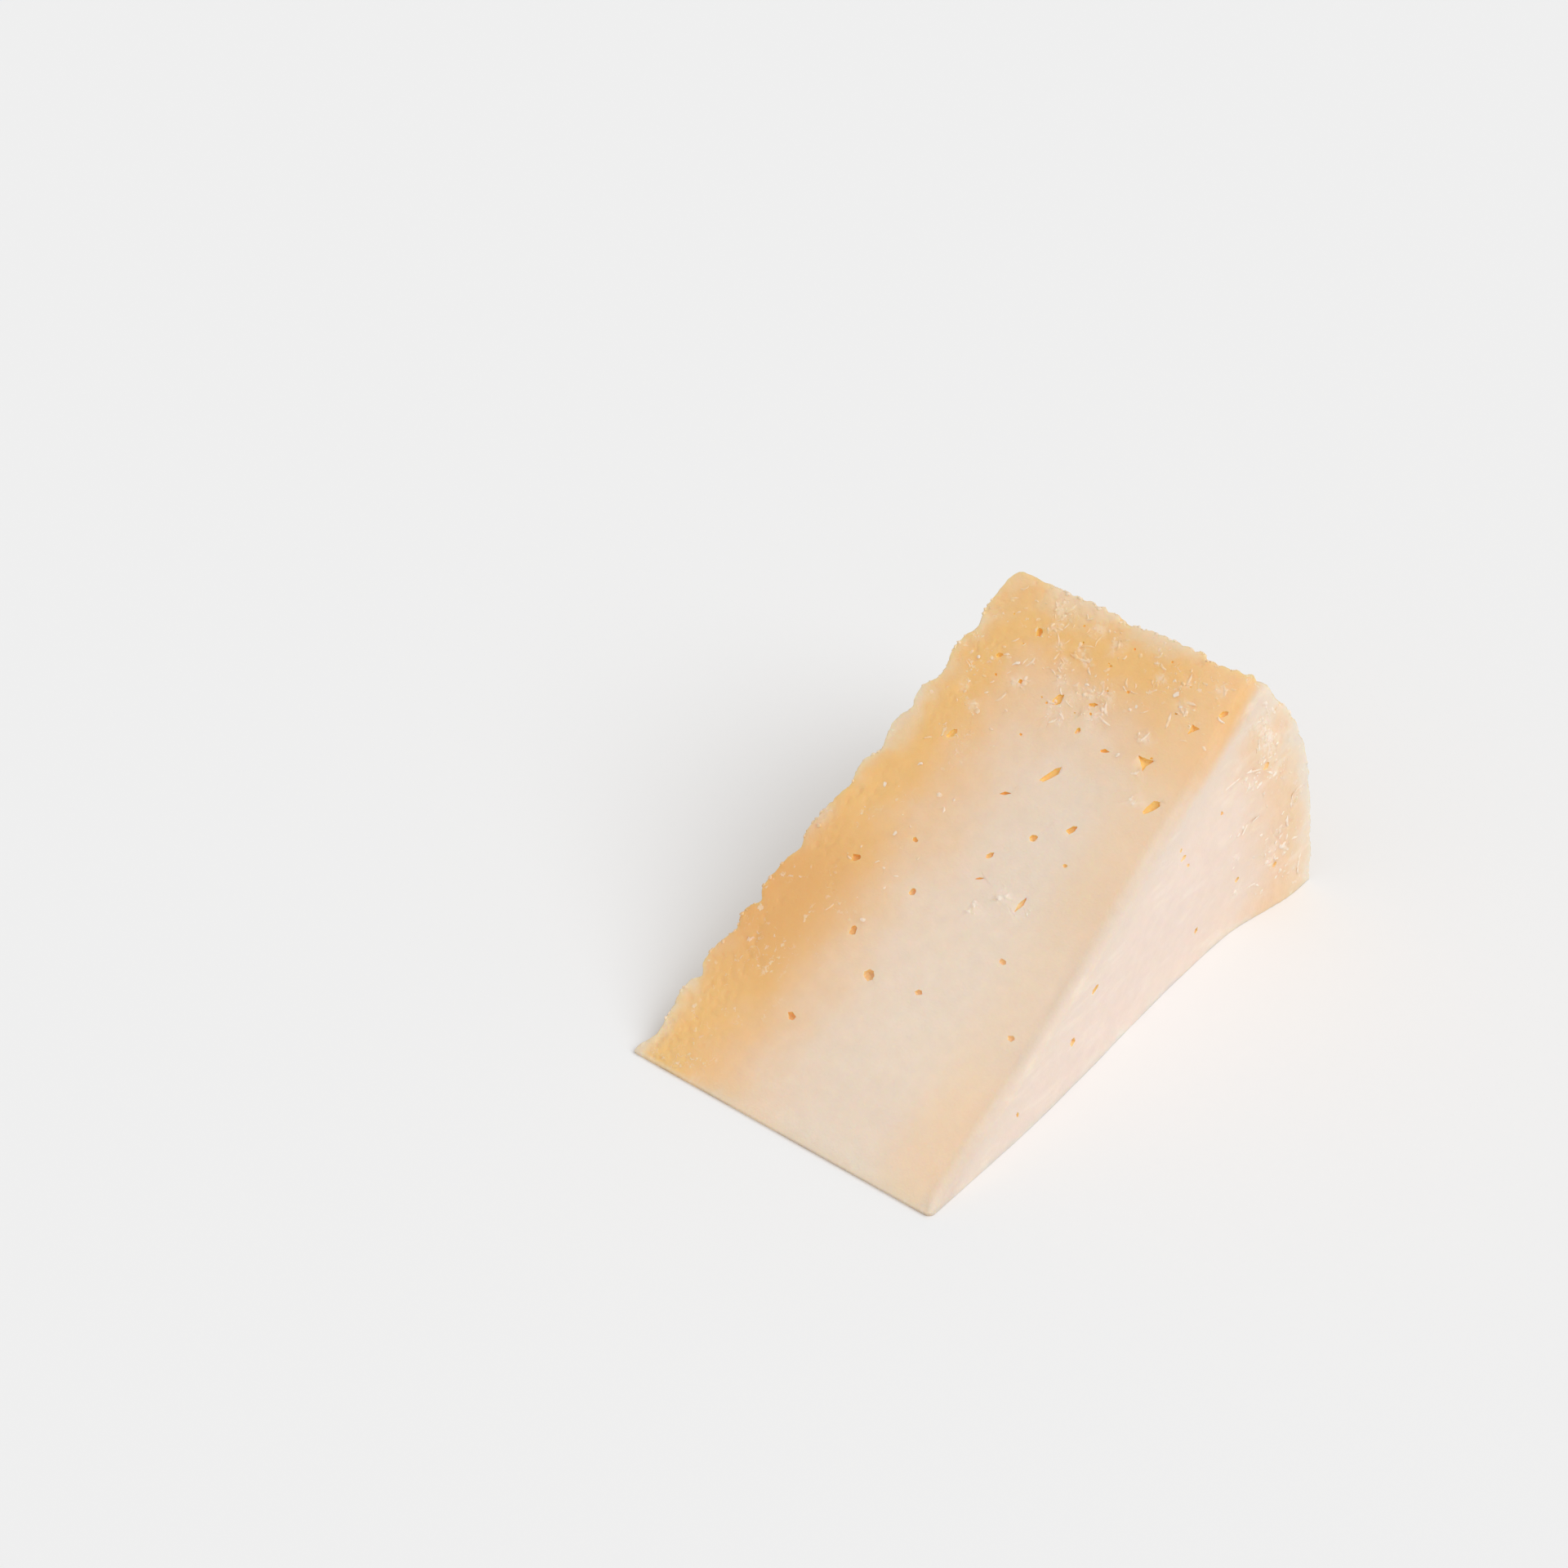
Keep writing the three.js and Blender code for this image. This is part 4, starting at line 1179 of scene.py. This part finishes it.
# White crystals of tyrosine and salts, grown in the paste while it ripened: chalky, with a faint sheen
crystals = {
    "seed": 3,
    "kinds": 4,
    "detail": 1,
    "keptShare": 1.0,
    "rough": 0.9,
    "sunk": 0.5,
    "height": 0.4,  # of the width
    "onTop": (  # place, length, width and turn in degrees, as with the smears
        (-39.1, 85.8, 1.8, 0.7, 55), (-11.7, 92.5, 1.3, 0.9, 60), (-9.9, 90.9, 0.6, 0.5, 30),
        (-14.8, 79.5, 1.3, 0.6, 60), (-26.2, 87.6, 0.9, 0.8, 70), (-16.6, 87.9, 0.7, 0.5, 100),
        (-31.5, 87.0, 0.7, 0.5, 160), (-45.6, 84.2, 0.9, 0.6, 110), (-44.0, 64.0, 1.1, 0.7, 70),
        (-47.5, 58.5, 1.0, 0.6, 115), (-41.0, 52.0, 0.9, 0.6, 90),
    ),
    "onCut": ((86.6, 42.0, 0.9, 0.6, 0), (87.6, 29.3, 0.6, 0.5, 0), (95.5, 7.7, 0.7, 0.6, 30)),
    "dull": "#ecd3b8",
    "bright": "#f4e4d2",
    "patches": 900.0,  # to the metre
    "bumps": 0.1,  # mm
    "bumped": 0.4,
    "ior": 1.48,
    "roughness": 0.45,
    "softness": 0.15,
    "scattering": 0.3,  # mm
    "scatteringByColour": (1.0, 0.7, 0.5),
}

lumpBumps = 0.45  # mm, on all of these
kindsApart = 7.0  # mm, so that each kind of lump gets other bumps


# A few rough lumps of which all the crumbs are copies
def modelLumps(settings):
    lumps = []
    for kind in range(settings["kinds"]):
        deselectAll()
        bpy.ops.mesh.primitive_ico_sphere_add(
            subdivisions=settings["detail"], radius=0.5 * mm, location=tuple(wheelAxis)
        )
        lump = bpy.context.object
        bpy.ops.object.transform_apply(location=True, rotation=False, scale=False)
        points = readPoints(lump)
        swell = waver(points + kindsApart * kind, lumpBumps, settings["seed"])
        writePoints(lump, points * (1 + settings["rough"] * swell)[:, None])
        thin = lump.modifiers.new("fewer faces", "DECIMATE")
        thin.ratio = settings["keptShare"]
        bpy.ops.object.modifier_apply(modifier=thin.name)
        lumps.append(lump)
    return lumps


# The first place where a line meets the cheese, and the way that its surface faces there
def surfaceAt(piece, start, direction):
    found, place, normal, _ = piece.ray_cast(Vector(start * mm + wheelAxis), Vector(direction))
    return ((np.array(place) - wheelAxis) / mm, np.array(normal)) if found else None


# Bends a lump along its length into an arc of some degrees
def bent(points, length, degrees):
    if not degrees:
        return points
    curve = math.radians(degrees) / length
    along = curve * points[:, 0]
    first = np.sin(along) / curve - points[:, 1] * np.sin(along)
    second = (1 - np.cos(along)) / curve + points[:, 1] * np.cos(along)
    return np.stack([first, second, points[:, 2]], axis=1)


def copyLump(lump, spot, outward, size, turn, bend, sunk):
    piece = lump.copy()
    piece.data = lump.data.copy()
    bpy.context.collection.objects.link(piece)
    axis = np.array([1.0, 0, 0] if abs(outward[0]) < 0.7 else [0, 0, 1.0])
    side = axis - outward * (axis @ outward)
    side /= np.linalg.norm(side)
    forward = np.cross(outward, side)
    points = turned(bent(readPoints(lump) * np.array(size), size[0], bend), 2, turn)
    points[:, 2] -= (sunk - 0.5) * size[2]
    writePoints(piece, points @ np.stack([side, forward, outward]) + spot)
    return piece


def joinCopies(copies):
    pick(copies[0])
    for piece in copies:
        piece.select_set(True)
    bpy.ops.object.join()
    return bpy.context.object


def makeCrystal():
    material = bpy.data.materials.new("white ripening crystals")
    material.use_nodes = True
    tree = material.node_tree
    tree.nodes.clear()
    place = addNode(tree, "ShaderNodeTexCoord").outputs["Object"]
    values = {"Scale": crystals["patches"], "Detail": 3.0}
    patch = addNode(tree, "ShaderNodeTexNoise", {}, values, {"Vector": place})
    colours = {6: colour(crystals["dull"]), 7: colour(crystals["bright"])}
    tint = addNode(tree, "ShaderNodeMix", {"data_type": "RGBA"}, colours, {0: patch})
    values = {"Strength": crystals["bumped"], "Distance": crystals["bumps"] * mm}
    bumped = addNode(tree, "ShaderNodeBump", {}, values, {"Height": patch})
    shader = addNode(
        tree, "ShaderNodeBsdfPrincipled", {},
        {
            "IOR": crystals["ior"], "Roughness": crystals["roughness"],
            "Subsurface Weight": crystals["softness"], "Subsurface Radius": crystals["scatteringByColour"],
            "Subsurface Scale": crystals["scattering"] * mm,
        },
        {"Base Color": tint, "Normal": bumped},
    )
    addNode(tree, "ShaderNodeOutputMaterial", {}, {}, {"Surface": shader})
    return material


above = 5.0  # crumbs come down from here


# A line that comes down square onto the top cut, the halving cut, or an edge of the rind
def ontoTop(x, outwards):
    normal = topNormal(topAngleAt(-x))
    return topPoint(x, outwards) + normal * above, -normal


def ontoCut(y, z):
    return np.array([above, y, z]), np.array([-1.0, 0, 0])


def ontoRim(x, degrees, lowered):
    angle = math.radians(degrees)
    outwards = np.array([0, math.cos(angle), math.sin(angle)])
    start = np.array([x, 0, 0]) + outwards * (wheel["radius"] + above) - topNormal(degrees) * lowered
    return start, -outwards


def ontoFlat(outwards, lowered):
    depth = wheel["edgeThickness"]
    start = topPoint(-depth, outwards) - topNormal(topAngleAt(depth)) * lowered
    start[0] = -wheel["centreThickness"] - above
    return start, np.array([1.0, 0, 0])


# The kind, size, turn, bend and depth of each smear and crumb, and the line along which it comes down
def throwCrumbs(dice):
    thrown = []

    def throwSmear(line, length, width, turn, bend):
        thrown.append(("smear", (length, width, smears["height"]), turn, bend, smears["sunk"], line))

    def throwCrumb(line, size, flatness, sunk):
        shape = (size, size * dice.uniform(*crumbs["slim"]), size * dice.uniform(*flatness))
        thrown.append(("crumb", shape, dice.uniform(0, 360), 0, sunk, line))

    def pickSize(span):
        return mix(span, dice.random() ** crumbs["sizePower"])

    def nearRind(onto):
        if onto is ontoCut:
            angle = math.radians(dice.uniform(*dryParts["cutTurn"]))
            outwards = mix(dryParts["cutOut"], dice.random() ** dryParts["cutPower"])
            return ontoCut(outwards * math.cos(angle), outwards * math.sin(angle))
        fromEdge = mix(dryParts["fromEdge"], dice.random() ** dryParts["edgePower"])
        if dice.random() < dryParts["byRim"]:
            return ontoTop(dice.uniform(*dryParts["alongRim"]), dryParts["rim"] - fromEdge)
        return ontoTop(fromEdge + dryParts["flat"], dice.uniform(*dryParts["alongFlat"]))

    for places, onto in ((smears["onTop"], ontoTop), (smears["onCut"], ontoCut)):
        for first, second, *shape in places:
            throwSmear(onto(first, second), *shape)
    for onto, count in zip((ontoTop, ontoCut), smears["scattered"]):
        for _ in range(count):
            length, width = pickSize(smears["length"]), dice.uniform(*smears["width"])
            bend = dice.uniform(-1, 1) * smears["bend"]
            throwSmear(nearRind(onto), length, width, dice.uniform(0, 180), bend)
    for clusters, onto in ((crumbs["topClusters"], ontoTop), (crumbs["cutClusters"], ontoCut)):
        for first, second, reach, count in clusters:
            for _ in range(count):
                away = reach * dice.random() ** crumbs["clusterPower"]
                angle = dice.uniform(0, 2 * np.pi)
                line = onto(first + away * np.cos(angle), second + away * np.sin(angle))
                throwCrumb(line, pickSize(crumbs["size"]), crumbs["flat"], crumbs["sunk"])
    for onto, count in zip((ontoTop, ontoCut), crumbs["scattered"]):
        for _ in range(count):
            throwCrumb(nearRind(onto), pickSize(crumbs["size"]), crumbs["flat"], crumbs["sunk"])

    # Along the edges they lie in drifts
    first, second, height = crumbs["drifts"]
    for edge, (count, span) in enumerate(zip(crumbs["alongEdges"], crumbs["edgeSpans"])):
        for _ in range(count):
            share, lowered = dice.random(), dice.uniform(0, crumbs["lowered"])
            size = pickSize(crumbs["edgeSize"])
            drift = math.sin(share * first + edge) + height * math.sin(share * second + 2 * edge)
            if drift + dice.uniform(-1, 1) < crumbs["driftsFrom"]:
                continue
            place = mix(span, share)
            if edge == 0:
                line = ontoRim(place, topAngleAt(-place), lowered)
            elif edge == 1:
                line = ontoFlat(place, lowered)
            else:
                line = ontoRim(-crumbs["behindCut"] - lowered, place, 0)
            throwCrumb(line, size, crumbs["edgeFlat"], crumbs["edgeSunk"])
    return thrown


# What would run into each other goes into different layers, which are joined on one by one
def addCrumbs(piece):
    dice = np.random.default_rng(crumbs["seed"])
    lumps = {"smear": modelLumps(smears), "crumb": modelLumps(crumbs)}
    layers = [[] for _ in range(crumbs["layers"])]
    boxes = [np.empty((0, 2, 3)) for _ in layers]
    for kind, size, turn, bend, sunk, line in throwCrumbs(dice):
        landed = surfaceAt(piece, *line)
        if not landed:
            continue
        shape = copyLump(lumps[kind][int(dice.integers(len(lumps[kind])))], *landed, size, turn, bend, sunk)
        points = readPoints(shape)
        box = np.stack([points.min(axis=0), points.max(axis=0)])
        for i, others in enumerate(boxes):
            if np.all(np.any((box[0] > others[:, 1]) | (box[1] < others[:, 0]), axis=1)):
                boxes[i] = np.append(others, box[None], axis=0)
                layers[i].append(shape)
                break
        else:
            bpy.data.objects.remove(shape)
    for layer in layers:
        combine(piece, joinCopies(layer), "UNION", "crumb")
    for lump in lumps["smear"] + lumps["crumb"]:
        bpy.data.objects.remove(lump)


def addCrystals(piece, material):
    lumps = modelLumps(crystals)
    copies = []
    for places, onto in ((crystals["onTop"], ontoTop), (crystals["onCut"], ontoCut)):
        for i, (first, second, length, width, turn) in enumerate(places):
            landed = surfaceAt(piece, *onto(first, second))
            size = (length, width, crystals["height"] * width)
            copies.append(copyLump(lumps[i % len(lumps)], *landed, size, turn, 0, crystals["sunk"]))
    joined = joinCopies(copies)
    for lump in lumps:
        bpy.data.objects.remove(lump)
    joined.name = "white_crystals"
    joined.data.name = "white_crystals"
    joined.data.materials.append(material)
    bpy.ops.object.shade_flat()
    return joined


print("Making the materials")
pasteMaterial = makePaste()
crystalMaterial = makeCrystal()

print("Making the wedge's blank")
cheese = addBlank()
print("Shaping it:", len(cheese.data.polygons), "faces")
shapeWedge(cheese)
thinFlatPlaces(cheese)
cheese.data.materials.append(pasteMaterial)
print("Opening its eyes:", len(cheese.data.polygons), "faces")
openEyes(cheese)
print("Adding its crumbs:", len(cheese.data.polygons), "faces")
addCrumbs(cheese)
finishCheese(cheese)
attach(cheese, "root")
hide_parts("cheese_wedge")
print("Adding crystals:", len(cheese.data.polygons), "faces")
whiteCrystals = addCrystals(cheese, crystalMaterial)
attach(whiteCrystals, "root")

print("Making the floor, the light and the camera")
deselectAll()
room = {
    "table": "#ececec",  # a pale, matt one
    "tableRoughness": 0.9,
    "tableShine": 0.1,
    "white": "#ffffff",  # the colour of the sky and of the sun
    "sky": 0.614,  # their strengths
    "sun": 1.66,
    "sunFrom": (0.6, 0.1, 0.79),
    "sunSpread": 55,  # degrees, as wide as a window
}
bpy.ops.mesh.primitive_plane_add(size=8, location=(0, 0, 0))
floor = bpy.context.object
floor.name = "floor"
floorMaterial = bpy.data.materials.new("pale matt table")
floorMaterial.use_nodes = True
floorShader = floorMaterial.node_tree.nodes["Principled BSDF"]
floorShader.inputs["Base Color"].default_value = colour(room["table"])
floorShader.inputs["Roughness"].default_value = room["tableRoughness"]
floorShader.inputs["Specular IOR Level"].default_value = room["tableShine"]
floor.data.materials.append(floorMaterial)

scene = bpy.context.scene
world = bpy.data.worlds.new("soft white room")
world.use_nodes = True
background = world.node_tree.nodes["Background"]
background.inputs["Color"].default_value = colour(room["white"])
background.inputs["Strength"].default_value = room["sky"]
scene.world = world
scene.view_settings.view_transform = "Standard"

bpy.ops.object.light_add(type="SUN", location=room["sunFrom"])
lamp = bpy.context.object
lamp.name = "key"
lamp.data.angle = math.radians(room["sunSpread"])
lamp.data.energy = room["sun"]
lamp.data.color = colour(room["white"])[:3]
lamp.rotation_euler = (-Vector(room["sunFrom"])).to_track_quat("-Z", "Y").to_euler()

view = {  # in millimetres around the wheel's axis, as the photo was taken
    "place": (306.5, -412.8, 505.6),
    "target": (-83.8, 68.9, 0.0),
    "lens": 107.64,
    "sensor": 36,
}
bpy.ops.object.camera_add(location=tuple(np.array(view["place"]) * mm + wheelAxis))
camera = bpy.context.object
towards = Vector(view["target"]) - Vector(view["place"])
camera.rotation_euler = towards.to_track_quat("-Z", "Y").to_euler()
camera.data.lens = view["lens"]
camera.data.sensor_width = view["sensor"]
scene.camera = camera
